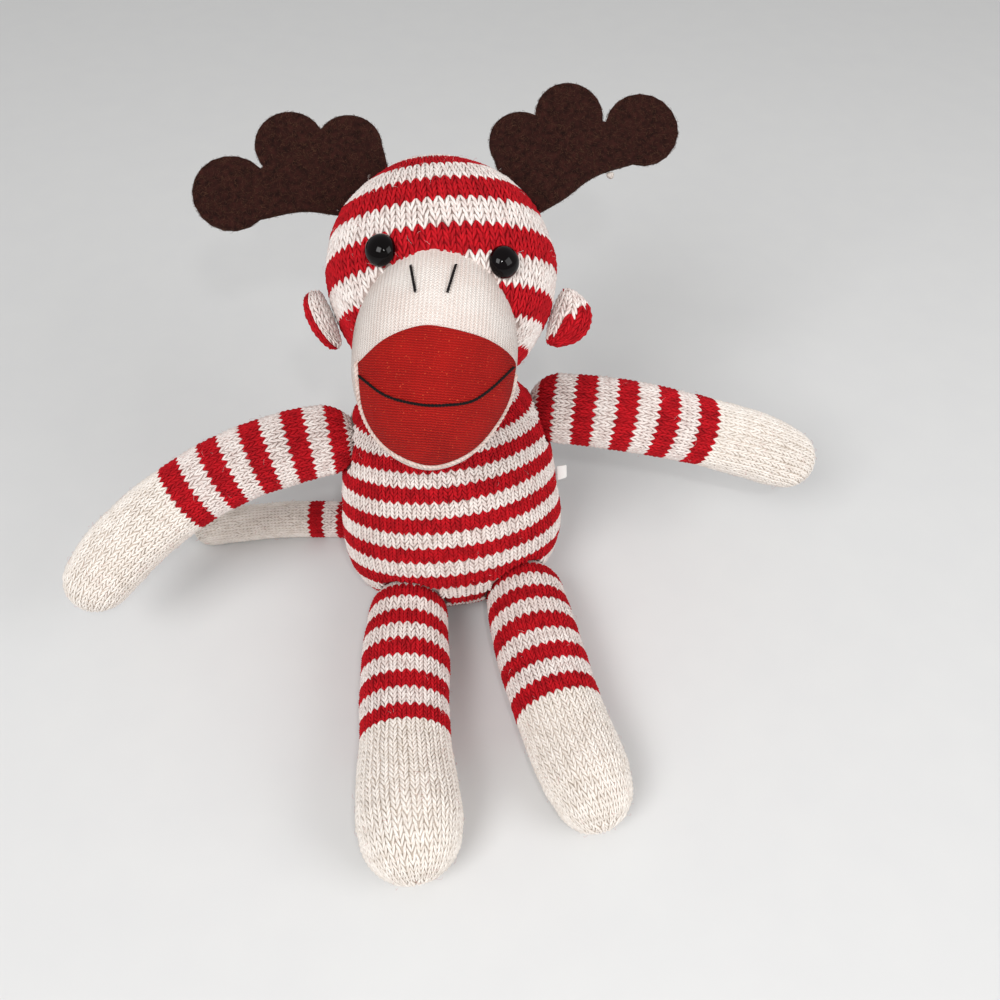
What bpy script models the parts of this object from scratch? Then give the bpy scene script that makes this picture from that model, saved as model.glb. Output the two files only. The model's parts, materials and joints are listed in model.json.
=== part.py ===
"""A sock monkey doll that sits with its legs out: striped knit over stuffing, with felt antlers.

Metres, +Z up. The doll faces -Y and its own left is at +X. The origin is the middle of the
flat that it sits on. Each limb ends in a ball that is seated in a dish of the torso, and turns
about the ball's centre, where the object's origin is.
"""

import math

import bmesh
import bpy
import numpy as np
from mathutils import Matrix, Vector

# Knit, seams and flats
KNIT_WALL = 0.0016
SEAM_GAP = 0.0003
JOINT_GAP = 0.0004
FLAT_DEPTH = 0.0005
TORSO_STRIPE = 0.0055
TORSO_FIRST_STRIPE = 0.0033
HEAD_STRIPE = 0.0066
HEAD_FIRST_STRIPE = 0.0025
ARM_STRIPE = 0.0061
LEG_STRIPE = 0.0051
TAIL_STRIPE = 0.0052
CUT_OVERRUN = 0.004
MERGE_DISTANCE = 0.00001

# Torso, along its own line from the seat to the neck's pivot
TORSO_LENGTH = 0.0835
BELLY_WIDTH = 0.073
BELLY_DEPTH = 0.047
NECK_RADIUS = 0.016
NECK_OPENING_RADIUS = 0.006
TORSO_RECLINE = math.radians(16)
TORSO_TURN = math.radians(11)
TORSO_UP_SHARES = (0.0, 0.012, 0.05, 0.13, 0.24, 0.36, 0.52, 0.68, 0.78, 0.87, 0.94)
TORSO_WIDTH_SHARES = (0.0, 0.34, 0.63, 0.87, 0.98, 1.0, 0.96, 0.91, 0.86, 0.74, 0.57)
ROUNDING_UP_SHARES = (0.0, 0.3, 0.7, 0.9, 1.0)
ROUNDING_SHARES = (1.05, 1.0, 1.02, 1.3, BELLY_WIDTH / BELLY_DEPTH)

# Head, a tube of knit whose line runs from under the muzzle to the back of the head
HEAD_WIDTH = 0.0625
HEAD_DEPTH = 0.0610
HEAD_LENGTH = 0.0630
NECK_TO_HEAD = 0.0400
NECK_LEAN = math.radians(9)
NECK_ASIDE = math.radians(4)
HEAD_TILT = math.radians(57)
HEAD_KNIT_LEAN = math.radians(16)
HEAD_ROLL = math.radians(4)
HEAD_YAW = math.radians(4.5)

# Muzzle, a ball sewn low on the face
MUZZLE_WIDTH = 0.0430
MUZZLE_HEIGHT = 0.0592
MUZZLE_DEPTH = 0.0480
MUZZLE_DROP = 0.0259
MUZZLE_FORWARD = 0.0120
MUZZLE_TURN_DOWN = math.radians(14)

# Mouth patch and black stitches
PATCH_THICKNESS = 0.0008
THREAD_RADIUS = 0.00045
MOUTH_OUTLINE_SHARES = (
    (-0.83, -0.12), (-0.55, 0.08), (-0.20, 0.20), (0.10, 0.21), (0.57, 0.15), (0.87, 0.03),
    (0.91, -0.10), (0.84, -0.38), (0.56, -0.71), (0.18, -0.88), (-0.14, -0.88), (-0.50, -0.75),
    (-0.74, -0.50),
)
SMILE_SHARES = (
    (-0.80, -0.22), (-0.49, -0.36), (-0.13, -0.41), (0.15, -0.40), (0.44, -0.35), (0.65, -0.23),
    (0.88, -0.04),
)
NOSTRIL_SHARES = (((-0.34, 0.69), (-0.26, 0.47)), ((0.16, 0.73), (0.09, 0.49)))

# Eyes
EYE_RADIUS = 0.0041
EYE_HEIGHT = 0.0034
POST_RADIUS = 0.0012
POST_LENGTH = 0.0065
WASHER_RADIUS = 0.0045
WASHER_THICKNESS = 0.0010
EYE_ASIDE = math.radians(29.5)
EYE_BELOW = math.radians(8.5)

# Ears
EAR_LENGTH = 0.0170
EAR_REACH = 0.0095
EAR_THICKNESS = 0.0058
EAR_BASE = 0.0019
EAR_BELOW = {"left": math.radians(14), "right": math.radians(27)}
EAR_FOLD = {"left": math.radians(14), "right": math.radians(70)}

# Antlers, flat felt with three round lobes
FELT_THICKNESS = 0.0021
ANTLER_LENGTH = 0.0465
ANTLER_GAP = 0.0009
ANTLER_STANDOFF = {"left": 0.0045, "right": 0.0}
ANTLER_BASE_WIDTH = 0.0150
ANTLER_ASIDE = {"left": math.radians(39), "right": math.radians(45)}
ANTLER_RISE = {"left": math.radians(35), "right": math.radians(-7)}
LOBE_SHARES = ((0.085, 0.27, 0.195), (0.43, 0.28, 0.205), (0.775, -0.01, 0.225))
ANTLER_UNDER_SHARES = ((0.60, -0.185), (0.36, -0.125), (0.12, -0.155))

# Arms
ARM_RADIUS = 0.0112
SLEEVE_LENGTH = 0.0465
HAND_LENGTH = {"left": 0.0430, "right": 0.0460}
ARM_STANDOFF = 0.0072
SHOULDER_UP_SHARE = 0.775
ARM_LINE = {
    "left": (math.radians(-10), math.radians(10), math.radians(2), math.radians(-38)),
    "right": (math.radians(195), math.radians(224), math.radians(1), math.radians(-42)),
}
ARM_SWELL_SHARES = ((0.0, 1.0), (0.18, 1.0), (0.5, 0.97), (0.62, 0.98), (0.8, 0.96), (1.0, 0.9))

# Legs
LEG_RADIUS = 0.0138
TROUSER_LENGTH = {"left": 0.0430, "right": 0.0445}
FOOT_LENGTH = {"left": 0.0385, "right": 0.0430}
LEG_STANDOFF = 0.0080
HIP_ROUND = math.radians(52)
LEG_LINE = {
    "left": (math.radians(-81), math.radians(-67)),
    "right": (math.radians(-90), math.radians(-80)),
}
LEG_BALL_SHARE = 0.94
LEG_SWELL_SHARES = ((0.0, LEG_BALL_SHARE), (0.2, 1.0), (0.5, 0.97))
FOOT_SWELL_SHARES = {
    "left": ((0.62, 0.96), (0.8, 0.94), (1.0, 0.86)),
    "right": ((0.62, 1.02), (0.8, 1.09), (1.0, 1.05)),
}

# Tail
TAIL_RADIUS = 0.0066
TAIL_STRIPED_LENGTH = 0.0330
TAIL_TIP_LENGTH = 0.0420
TAIL_STANDOFF = 0.0054
TAIL_ROUND = math.radians(118)
TAIL_LINE = (math.radians(168), math.radians(196))
TAIL_SWELL_SHARES = ((0.0, 0.96), (0.2, 1.0), (0.5, 0.98), (0.8, 0.97), (1.0, 0.93))

# Side label
LABEL_WIDTH = 0.0055
LABEL_REACH = 0.0035
LABEL_THICKNESS = 0.0010
LABEL_UP_SHARE = 0.50
LABEL_ROUND = math.radians(-4)

OUTER_SIDES = 18
HOLLOW_SIDES = 12
LIMB_SIDES = 16
TAIL_SIDES = 10
COARSE_SHARE = 0.62
LINE_STEPS = 16
LIMB_STEPS = 65
RED, WHITE, CREAM, LIPS = "striped_red", "striped_white", "muzzle_cream", "mouth_red"
COLOURS = {
    RED: ((0.52, 0.006, 0.017), 0.9),
    WHITE: ((0.86, 0.80, 0.76), 0.9),
    CREAM: ((0.85, 0.75, 0.67), 0.9),
    LIPS: ((0.55, 0.025, 0.02), 0.85),
    "hand_white": ((0.84, 0.76, 0.70), 0.9),
    "fibre": ((0.88, 0.88, 0.86), 1.0),
    "black_thread": ((0.01, 0.01, 0.01), 0.7),
    "eye_black": ((0.005, 0.005, 0.006), 0.08),
    "washer_white": ((0.7, 0.7, 0.68), 0.4),
    "felt_brown": ((0.045, 0.018, 0.012), 1.0),
    "label_white": ((0.85, 0.85, 0.84), 0.8),
}


for old in list(bpy.data.objects):
    bpy.data.objects.remove(old)


def fresh_collection(name):
    found = bpy.data.collections.new(name)
    bpy.context.scene.collection.children.link(found)
    return found


PARTS = fresh_collection("sock_monkey_doll")
CUTTERS = fresh_collection("cutters")
CUTTERS.hide_render = True


def material(name):
    found = bpy.data.materials.get(name)
    if found:
        return found
    colour, roughness = COLOURS[name]
    found = bpy.data.materials.new(name)
    found.use_nodes = True
    found.diffuse_color = (*colour, 1)
    shader = found.node_tree.nodes["Principled BSDF"]
    shader.inputs["Base Color"].default_value = (*colour, 1)
    shader.inputs["Roughness"].default_value = roughness
    shader.inputs["Metallic"].default_value = 0
    return found


def add_object(name, shape, materials, origin=(0, 0, 0)):
    """An object whose own origin is at a pivot, made from a bmesh in world places."""
    bmesh.ops.recalc_face_normals(shape, faces=shape.faces)
    bmesh.ops.translate(shape, verts=shape.verts, vec=-Vector(origin))
    mesh = bpy.data.meshes.new(name)
    shape.to_mesh(mesh)
    shape.free()
    for each in materials:
        mesh.materials.append(material(each))
    mesh.shade_smooth()
    mesh.set_sharp_from_angle(angle=math.radians(50))
    made = bpy.data.objects.new(name, mesh)
    made.location = origin
    PARTS.objects.link(made)
    return made


def add_cutter(name, shape, origin=(0, 0, 0)):
    made = add_object(name, shape, [], origin)
    PARTS.objects.unlink(made)
    CUTTERS.objects.link(made)
    made.hide_render = True
    made.display_type = "WIRE"
    return made


def cut(target, *cutters):
    for cutter in cutters:
        modifier = target.modifiers.new(cutter.name, "BOOLEAN")
        modifier.operation = "DIFFERENCE"
        modifier.object = cutter


def ball_cutter(name, centre, radius):
    shape = bmesh.new()
    turn = Matrix.Translation(Vector(centre))
    bmesh.ops.create_uvsphere(shape, u_segments=20, v_segments=10, radius=radius, matrix=turn)
    return add_cutter(name, shape)


def smooth_line(points):
    """A smooth line through the points, with even steps between each pair."""
    points = np.array(points, float)
    ends = np.vstack([2 * points[0] - points[1], points, 2 * points[-1] - points[-2]])
    line = []
    for a, b, c, d in zip(ends, ends[1:], ends[2:], ends[3:]):
        for t in np.arange(LINE_STEPS) / LINE_STEPS:
            bend = (2 * a - 5 * b + 4 * c - d) * t**2 + (3 * b - a - 3 * c + d) * t**3
            line.append(b + (bend + (c - a) * t) / 2)
    return np.array(line + [points[-1]])


def arc(centre, radius, first, last):
    """Points (along, radius) round a circle on the line, from one angle to another."""
    steps = max(2, round(abs(last - first) / math.radians(1.5)))
    angles = np.linspace(first, last, steps + 1)
    return np.column_stack([centre - radius * np.cos(angles), radius * np.sin(angles)])


def inset(line, depth):
    """The same outline, moved in by a depth along its normals."""
    step = np.gradient(line, axis=0)
    step /= np.linalg.norm(step, axis=1)[:, None]
    for end, way in ((0, 1), (-1, -1)):
        if line[end, 1] < depth:
            step[end] = 0, way
    moved = line + depth * np.column_stack([step[:, 1], -step[:, 0]])
    moved[:, 1] = np.maximum(moved[:, 1], 0)
    return moved


def up_to(line, high):
    """The stretch of an outline before a place along it."""
    return np.vstack([line[line[:, 0] < high], (high, np.interp(high, line[:, 0], line[:, 1]))])


def onward_from(line, low):
    """The stretch of an outline after a place along it."""
    return np.vstack([(low, np.interp(low, line[:, 0], line[:, 1])), line[line[:, 0] > low]])


def marks(line, pitch, first=0.0, from_end=False):
    """Which points of an outline lie at even distances along it, with both its ends."""
    run = np.concatenate([[0], np.cumsum(np.linalg.norm(np.diff(line, axis=0), axis=1))])
    wanted = np.arange(first, run[-1], pitch)
    if from_end:
        wanted = (run[-1] - wanted)[::-1]
    wanted = wanted[(wanted > pitch / 3) & (wanted < run[-1] - pitch / 3)]
    return [0, *(int(np.abs(run - at).argmin()) for at in wanted), len(line) - 1]


def rings(line, place, sides):
    """A ring of points round each station; a station on the line itself is a pole."""
    found = []
    for along, radius in line:
        centre, across, back = place(along)
        if radius < SEAM_GAP / 4:
            found.append([centre])
            continue
        angles = np.arange(sides) * 2 * math.pi / sides
        found.append(
            [centre + radius * (across * math.cos(a) + back * math.sin(a)) for a in angles]
        )
    return found


def loft(found, slots=None):
    """One closed surface through rings in turn, where a ring may have half the next one's points."""
    shape = bmesh.new()
    loops = [[shape.verts.new(p) for p in ring] for ring in found]
    for k, (low, high) in enumerate(zip(loops, loops[1:])):
        few, many = sorted((low, high), key=len)
        share = len(many) // len(few)
        made = []
        for i in range(len(many)):
            j = (i + 1) % len(many)
            corners = [many[i], many[j], few[j // share % len(few)], few[i // share]]
            corners = list(dict.fromkeys(corners))
            if len(corners) > 2:
                made.append(shape.faces.new(corners))
        for face in made:
            face.material_index = slots[k] if slots else 0
    return shape


def cut_flat(shape):
    """Takes off what lies under the floor and closes the flat."""
    everything = [*shape.verts, *shape.edges, *shape.faces]
    cutting = bmesh.ops.bisect_plane(
        shape, geom=everything, plane_co=(0, 0, 0), plane_no=(0, 0, -1), clear_outer=True
    )
    edges = [e for e in cutting["geom_cut"] if isinstance(e, bmesh.types.BMEdge)]
    bmesh.ops.contextual_create(shape, geom=edges)
    return shape


def stripes(count, first):
    """Slots for strips of red and white by turns."""
    return [(first + k) % 2 for k in range(count)]


class Torso:
    """The torso's outline and the places on it."""

    def __init__(self):
        turn = Matrix.Rotation(TORSO_TURN, 3, "Z") @ Matrix.Rotation(-TORSO_RECLINE, 3, "X")
        self.turn = np.array(turn)
        self.seat = np.zeros(3)
        width = BELLY_WIDTH / 2
        side = [
            (u * TORSO_LENGTH, w * width) for u, w in zip(TORSO_UP_SHARES, TORSO_WIDTH_SHARES)
        ]
        neck = arc(TORSO_LENGTH, NECK_RADIUS, math.pi / 2, math.pi)
        self.line = np.vstack([smooth_line([*side, neck[0]]), neck[1:]])
        points = np.vstack(rings(self.line, self.place, OUTER_SIDES * 4))
        lowest = points[points[:, 2].argmin()]
        self.seat = -lowest - np.array([0, 0, FLAT_DEPTH])
        self.neck = self.world(0, 0, TORSO_LENGTH)

    def world(self, x, y, up):
        return self.turn @ np.array([x, y, up]) + self.seat

    def flatness(self, up):
        return np.interp(up, np.array(ROUNDING_UP_SHARES) * TORSO_LENGTH, ROUNDING_SHARES)

    def place(self, up):
        depth = self.flatness(up) * BELLY_DEPTH / BELLY_WIDTH
        return self.world(0, 0, up), self.turn[:, 0], self.turn[:, 1] * depth

    def pivot(self, up, around, standoff):
        """The place at a distance outside the surface, and the way straight out there."""
        width = np.interp(up, self.line[:, 0], self.line[:, 1])
        depth = width * self.flatness(up) * BELLY_DEPTH / BELLY_WIDTH
        out = np.array([math.cos(around) / width, math.sin(around) / depth, 0])
        out /= np.linalg.norm(out)
        at = np.array([width * math.cos(around), depth * math.sin(around), up]) + standoff * out
        return self.world(*at), self.turn @ out

    def pivot_over_floor(self, height, around, standoff):
        """The pivot round the torso whose centre is at a height over the floor."""
        low, high = 0.0, TORSO_LENGTH / 2
        for _ in range(40):
            middle = (low + high) / 2
            if self.pivot(middle, around, standoff)[0][2] < height:
                low = middle
            else:
                high = middle
        return self.pivot(high, around, standoff)


class Limb:
    """A stuffed tube on a bent line, with a ball at its root and a round tip."""

    def __init__(self, name, pivot, radius, stripe, sides, lengths, bend, swell, names):
        self.name, self.pivot, self.radius, self.names = name, np.array(pivot), radius, names
        self.stripe, self.sides = stripe, sides
        self.pitch = stripe / math.ceil(stripe / (radius * COARSE_SHARE))
        self.inner_pitch = min(stripe * 4 / 3, radius * COARSE_SHARE)
        self.cuff, self.length = lengths[0], sum(lengths)
        self.ball = radius * swell[0][1]
        self.on_floor = len(bend) == 2
        heading, last_heading, rise, last_rise = (*bend, 0.0, 0.0)[:4]
        self.steps = np.linspace(0, self.length, LIMB_STEPS)
        share = self.steps / self.length
        flat = heading + (last_heading - heading) * share
        up = rise + (last_rise - rise) * share
        ways = np.column_stack([np.cos(flat) * np.cos(up), np.sin(flat) * np.cos(up), np.sin(up)])
        reach = np.cumsum(ways[:-1] * self.steps[1], axis=0)
        self.points = self.pivot + np.vstack([np.zeros(3), reach])
        if self.on_floor:
            sizes = np.array(swell).T
            self.points[:, 2] = radius * np.interp(share, *sizes) - FLAT_DEPTH
            ways = np.gradient(self.points, axis=0)
        self.ways = ways
        tip = radius * swell[-1][1]
        body = [
            (share * self.length, radius * size)
            for share, size in swell[1:]
            if share * self.length < self.length - tip
        ]
        start = arc(0, self.ball, 0, math.pi / 2)
        end = arc(self.length - tip, tip, math.pi / 2, math.pi)
        self.line = np.vstack([start[:-1], smooth_line([start[-1], *body, end[0]]), end[1:]])

    def place(self, along):
        way = np.array([np.interp(along, self.steps, self.ways[:, k]) for k in range(3)])
        way /= np.linalg.norm(way)
        centre = np.array([np.interp(along, self.steps, self.points[:, k]) for k in range(3)])
        centre = centre + way * min(along, 0) + way * max(along - self.length, 0)
        across = np.cross(way, (0, 0, 1))
        across /= np.linalg.norm(across)
        return centre, across, np.cross(across, way)

    def shell(self, line, root):
        """One knit tube with its wall, closed at the limb's root or at its tip."""
        outer = line[marks(line, self.pitch, from_end=root)]
        inner = self.lining(line, KNIT_WALL)[marks(line, self.inner_pitch, from_end=root)]
        rounds = rings(outer, self.place, self.sides)
        hollow = rings(inner, self.place, self.sides // 2)
        slots = None
        if root:
            strips = len(rounds) - 1
            per = round(self.stripe / self.pitch)
            slots = [(strips - 1 - k) // per % 2 for k in range(strips)] + [0] * len(hollow)
            found = [*rounds, *hollow[::-1]]
        else:
            found = [*rounds[::-1], *hollow]
        shape = loft(found, slots)
        return cut_flat(shape) if self.on_floor else shape

    def lining(self, line, depth):
        """The outline moved in, whose open end stays in the plane of the cuff."""
        moved = inset(line, depth)
        for end in (0, -1):
            if line[end, 1] > depth:
                moved[end] = line[end, 0], line[end, 1] - depth
        return moved

    def wad_radius(self):
        snug = math.cos(math.pi / (self.sides // 2)) * math.cos(self.inner_pitch / self.ball / 2)
        return (self.ball - KNIT_WALL) * snug - JOINT_GAP

    def build(self):
        sleeve, end, stuffing, wad = self.names
        root_line = up_to(self.line, self.cuff - SEAM_GAP / 2)
        tip_line = onward_from(self.line, self.cuff + SEAM_GAP / 2)
        add_object(sleeve, self.shell(root_line, True), [RED, WHITE], self.pivot)
        add_object(end, self.shell(tip_line, False), ["hand_white"], self.pivot)
        shape = loft(self.filling(root_line, tip_line))
        add_object(stuffing, shape, ["fibre"], self.pivot)
        shape = bmesh.new()
        at = Matrix.Translation(Vector(self.pivot))
        core = self.wad_radius()
        bmesh.ops.create_uvsphere(shape, u_segments=12, v_segments=8, radius=core, matrix=at)
        add_object(wad, shape, ["fibre"], self.pivot)

    def filling(self, root_line, tip_line):
        """The stuffing's rings: a dish round the wad at the root, then the tube's inside."""
        depth = KNIT_WALL + SEAM_GAP
        root = self.lining(root_line, depth)[marks(root_line, self.inner_pitch, from_end=True)]
        tip = self.lining(tip_line, depth)[marks(tip_line, self.inner_pitch)]
        rim = math.radians(110)
        dish = arc(0, self.ball - KNIT_WALL, math.pi, rim)
        dish = dish[marks(dish, self.inner_pitch / 2)]
        body = np.vstack([root[root[:, 0] > dish[-1, 0] + self.pitch / 4], tip[1:]])
        return rings(np.vstack([dish, body]), self.place, self.sides // 2)


class Head:
    """The head's own directions, with its line from under the muzzle up to the crown."""

    def __init__(self, neck):
        lean = Matrix.Rotation(NECK_ASIDE, 3, "Y") @ Matrix.Rotation(NECK_LEAN, 3, "X")
        self.neck = np.array(neck)
        self.centre = self.neck + np.array(lean @ Vector((0, 0, NECK_TO_HEAD)))
        turn = Matrix.Rotation(-HEAD_TILT, 3, "X") @ Matrix.Rotation(HEAD_ROLL, 3, "Y")
        turn = turn @ Matrix.Rotation(HEAD_YAW, 3, "Z")
        self.turn = np.array(turn)
        self.knit = np.array(turn @ Matrix.Rotation(-HEAD_KNIT_LEAN, 3, "X"))
        self.half = np.array([HEAD_WIDTH, HEAD_DEPTH, HEAD_LENGTH]) / 2
        line = arc(0, HEAD_WIDTH / 2, 0, math.pi)
        self.line = line * (HEAD_LENGTH / HEAD_WIDTH, 1)
        self.bands = marks(self.line, HEAD_STRIPE, HEAD_FIRST_STRIPE, from_end=True)

    def world(self, x, y, up):
        return self.turn @ np.array([x, y, up]) + self.centre

    def place(self, along):
        depth = HEAD_DEPTH / HEAD_WIDTH
        return self.centre + self.knit[:, 2] * along, self.knit[:, 0], self.knit[:, 1] * depth

    def surface(self, aside, above, out=0.0):
        """The place on the head at an angle to the side and above the face, and the way out."""
        way = np.array(
            [math.sin(aside) * math.cos(above), -math.cos(aside) * math.cos(above), math.sin(above)]
        )
        way = self.knit.T @ self.turn @ way
        at = way / np.linalg.norm(way / self.half)
        normal = at / self.half**2
        normal /= np.linalg.norm(normal)
        return self.centre + self.knit @ (at + out * normal), self.knit @ normal


class Muzzle:
    """A ball whose face is turned a little further down than the head's."""

    def __init__(self, head):
        self.centre = head.world(0, -MUZZLE_FORWARD, -MUZZLE_DROP)
        down = Matrix.Rotation(MUZZLE_TURN_DOWN, 3, "X")
        self.turn = head.turn @ np.array(down)
        self.half = np.array([MUZZLE_WIDTH, MUZZLE_DEPTH, MUZZLE_HEIGHT]) / 2

    def ball(self, out, sides=OUTER_SIDES, steps=14):
        """The muzzle grown or shrunk by a distance, turned so that its poles are aside."""
        half = self.half + out
        line = arc(0, 1, 0, math.pi)
        found = []
        for along, radius in line[marks(line, math.pi / steps)]:
            centre = self.world(0, -along * half[1], 0)
            across, up = self.turn[:, 0] * half[0], self.turn[:, 2] * half[2]
            angles = np.arange(sides) * 2 * math.pi / sides
            found.append(
                [centre]
                if radius < 1e-6
                else [centre + radius * (across * math.cos(a) + up * math.sin(a)) for a in angles]
            )
        return loft(found)

    def world(self, x, y, up):
        return self.turn @ np.array([x, y, up]) + self.centre

    def on_face(self, aside, above, out):
        """The place over the muzzle's front at shares of its half width and half height."""
        half = self.half + out
        forward = math.sqrt(max(0.0, 1 - aside**2 - above**2))
        at = np.array([aside * self.half[0], -forward * half[1], above * self.half[2]])
        length = np.linalg.norm(at / half)
        return self.world(*(at / length))


def tube(name, points, radius, colour):
    """A round thread through points, made a mesh with closed ends."""
    data = bpy.data.curves.new(name, "CURVE")
    data.dimensions = "3D"
    data.bevel_depth = radius
    data.bevel_resolution = 1
    data.use_fill_caps = True
    line = data.splines.new("POLY")
    line.points.add(len(points) - 1)
    for place, point in zip(line.points, points):
        place.co = (*point, 1)
    guide = bpy.data.objects.new(name + "_line", data)
    PARTS.objects.link(guide)
    graph = bpy.context.evaluated_depsgraph_get()
    mesh = bpy.data.meshes.new_from_object(guide.evaluated_get(graph))
    shape = bmesh.new()
    shape.from_mesh(mesh)
    bmesh.ops.remove_doubles(shape, verts=shape.verts, dist=radius / 100)
    bpy.data.objects.remove(guide)
    bpy.data.meshes.remove(mesh)
    return add_object(name, shape, [colour])


def build_torso(torso, seats):
    """The knit skin with a dish for each limb, and the stuffing inside it."""
    bands = marks(torso.line, TORSO_STRIPE, TORSO_FIRST_STRIPE)
    rounds = rings(torso.line[bands], torso.place, OUTER_SIDES)
    shape = cut_flat(loft(rounds, stripes(len(rounds) - 1, 0)))
    skin = add_object("torso_skin", shape, [RED, WHITE])
    chosen = marks(torso.line, TORSO_STRIPE * 4 / 3)
    inner = inset(torso.line, KNIT_WALL)[chosen]
    filling = inset(torso.line, KNIT_WALL + 2 * SEAM_GAP)[chosen]
    top = TORSO_LENGTH + NECK_RADIUS + CUT_OVERRUN
    chimney = [(top, NECK_OPENING_RADIUS), (top, 0)]
    inner = np.vstack([inner[:-1], chimney])
    hollow = add_cutter("torso_hollow", loft(rings(inner, torso.place, HOLLOW_SIDES)))
    body = filling[filling[:, 0] < TORSO_LENGTH - TORSO_STRIPE]
    body = np.vstack([body, (body[-1, 0], 0)])
    stuffing = add_object(
        "torso_stuffing", loft(rings(body, torso.place, HOLLOW_SIDES)), ["fibre"]
    )
    cut(stuffing, ball_cutter("neck_dish", torso.neck, NECK_RADIUS - KNIT_WALL))
    for name, centre, radius in seats:
        wide = radius + JOINT_GAP
        cut(skin, ball_cutter(name + "_seat", centre, wide))
        cut(hollow, ball_cutter(name + "_seat_wall", centre, wide + KNIT_WALL))
        cut(stuffing, ball_cutter(name + "_seat_filling", centre, wide + KNIT_WALL + SEAM_GAP))
    cut(skin, hollow)
    shape = bmesh.new()
    at = Matrix.Translation(Vector(torso.neck))
    wad = neck_wad_radius()
    bmesh.ops.create_uvsphere(shape, u_segments=14, v_segments=8, radius=wad, matrix=at)
    add_object("neck_stuffing", shape, ["fibre"], torso.neck)


def neck_wad_radius():
    snug = math.cos(math.pi / HOLLOW_SIDES) * math.cos(TORSO_STRIPE * 4 / 3 / NECK_RADIUS / 2)
    return (NECK_RADIUS - KNIT_WALL) * snug - JOINT_GAP


def build_label(torso):
    """The bare label, a folded strip caught in the side seam."""
    root, out = torso.pivot(LABEL_UP_SHARE * TORSO_LENGTH, LABEL_ROUND, SEAM_GAP)
    up = torso.turn[:, 2]
    across = np.cross(up, out)
    shape = bmesh.new()
    turn = Matrix(np.column_stack([out, across, up]).tolist()).to_4x4()
    size = Matrix.Diagonal((LABEL_REACH, LABEL_THICKNESS, LABEL_WIDTH, 1))
    middle = Matrix.Translation(Vector(root + out * (LABEL_REACH / 2 + SEAM_GAP)))
    bmesh.ops.create_cube(shape, size=1, matrix=middle @ turn @ size)
    add_object("side_label", shape, ["label_white"])


def build_head(head):
    """The knit skin with its hollow, a socket over the neck, the stuffing and the eyes."""
    chosen = head.bands
    rounds = rings(head.line[chosen], head.place, OUTER_SIDES)
    shape = loft(rounds, stripes(len(rounds) - 1, 1)[::-1])
    skin = add_object("head_skin", shape, [RED, WHITE], head.neck)
    inner = inset(head.line, KNIT_WALL)[chosen]
    filling = inset(head.line, KNIT_WALL + SEAM_GAP)[chosen]
    hollow = add_cutter("head_hollow", loft(rings(inner, head.place, HOLLOW_SIDES)))
    stuffing = add_object(
        "head_stuffing", loft(rings(filling, head.place, HOLLOW_SIDES)), ["fibre"], head.neck
    )
    wide = NECK_RADIUS + JOINT_GAP
    cut(skin, ball_cutter("neck_seat", head.neck, wide))
    cut(hollow, ball_cutter("neck_seat_wall", head.neck, wide + KNIT_WALL))
    cut(stuffing, ball_cutter("neck_seat_filling", head.neck, wide + KNIT_WALL + SEAM_GAP))
    cut(skin, hollow)
    for side, sign in (("left", 1), ("right", -1)):
        build_eye(head, side, sign, skin, stuffing)


def turned(name, profile, sides, matrix, colour, origin):
    """A turned piece, from a profile that runs down its outer side, by a Screw modifier."""
    mesh = bpy.data.meshes.new(name)
    mesh.from_pydata(
        [(r, 0, z) for r, z in profile], [(k, k + 1) for k in range(len(profile) - 1)], []
    )
    made = bpy.data.objects.new(name, mesh)
    PARTS.objects.link(made)
    screw = made.modifiers.new("turn", "SCREW")
    screw.steps = screw.render_steps = sides
    screw.use_merge_vertices = True
    screw.merge_threshold = MERGE_DISTANCE
    screw.use_smooth_shade = True
    mesh.materials.append(material(colour))
    made.matrix_world = Matrix.Translation(Vector(origin)) @ matrix.to_4x4()
    return made


def build_eye(head, side, sign, skin, stuffing):
    """A domed eye on a post, and the washer that holds the post behind the knit."""
    root, out = head.surface(sign * EYE_ASIDE, -EYE_BELOW, SEAM_GAP)
    turn = Vector(out).to_track_quat("Z", "Y").to_matrix()
    dome = [
        (EYE_RADIUS * math.sin(a), EYE_HEIGHT * math.cos(a))
        for a in np.linspace(0, math.pi / 2, 6)
    ]
    post = [(POST_RADIUS, 0), (POST_RADIUS, -POST_LENGTH), (0, -POST_LENGTH)]
    turned(side + "_eye", dome + post, 16, turn, "eye_black", root)
    bore = POST_RADIUS + SEAM_GAP
    sag = 1 - math.cos(math.pi / HOLLOW_SIDES) * math.cos(HEAD_STRIPE / HEAD_LENGTH)
    top = -(KNIT_WALL + sag * HEAD_LENGTH / 2 + 2 * SEAM_GAP)
    base = top - WASHER_THICKNESS
    washer = [(bore, top), (WASHER_RADIUS, top), (WASHER_RADIUS, base), (bore, base), (bore, top)]
    turned(side + "_eye_washer", washer, 16, turn, "washer_white", root)
    shape = bmesh.new()
    at = Matrix.Translation(Vector(root)) @ turn.to_4x4()
    bmesh.ops.create_cone(
        shape, cap_ends=True, segments=12, radius1=bore, radius2=bore,
        depth=2 * (KNIT_WALL + CUT_OVERRUN), matrix=at,
    )
    cut(skin, add_cutter(side + "_eye_hole", shape))
    shape = bmesh.new()
    depth = POST_LENGTH + SEAM_GAP
    at = at @ Matrix.Translation((0, 0, -depth / 2))
    bmesh.ops.create_cone(
        shape, cap_ends=True, segments=12, radius1=WASHER_RADIUS + 2 * SEAM_GAP,
        radius2=WASHER_RADIUS + 2 * SEAM_GAP, depth=depth, matrix=at,
    )
    cut(stuffing, add_cutter(side + "_washer_room", shape))


def grown_head(head, name, gap):
    """The head's outside grown by a gap, which cuts what is sewn on it."""
    line = inset(head.line, -gap)[head.bands]
    return add_cutter(name, loft(rings(line, head.place, OUTER_SIDES)))


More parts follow.
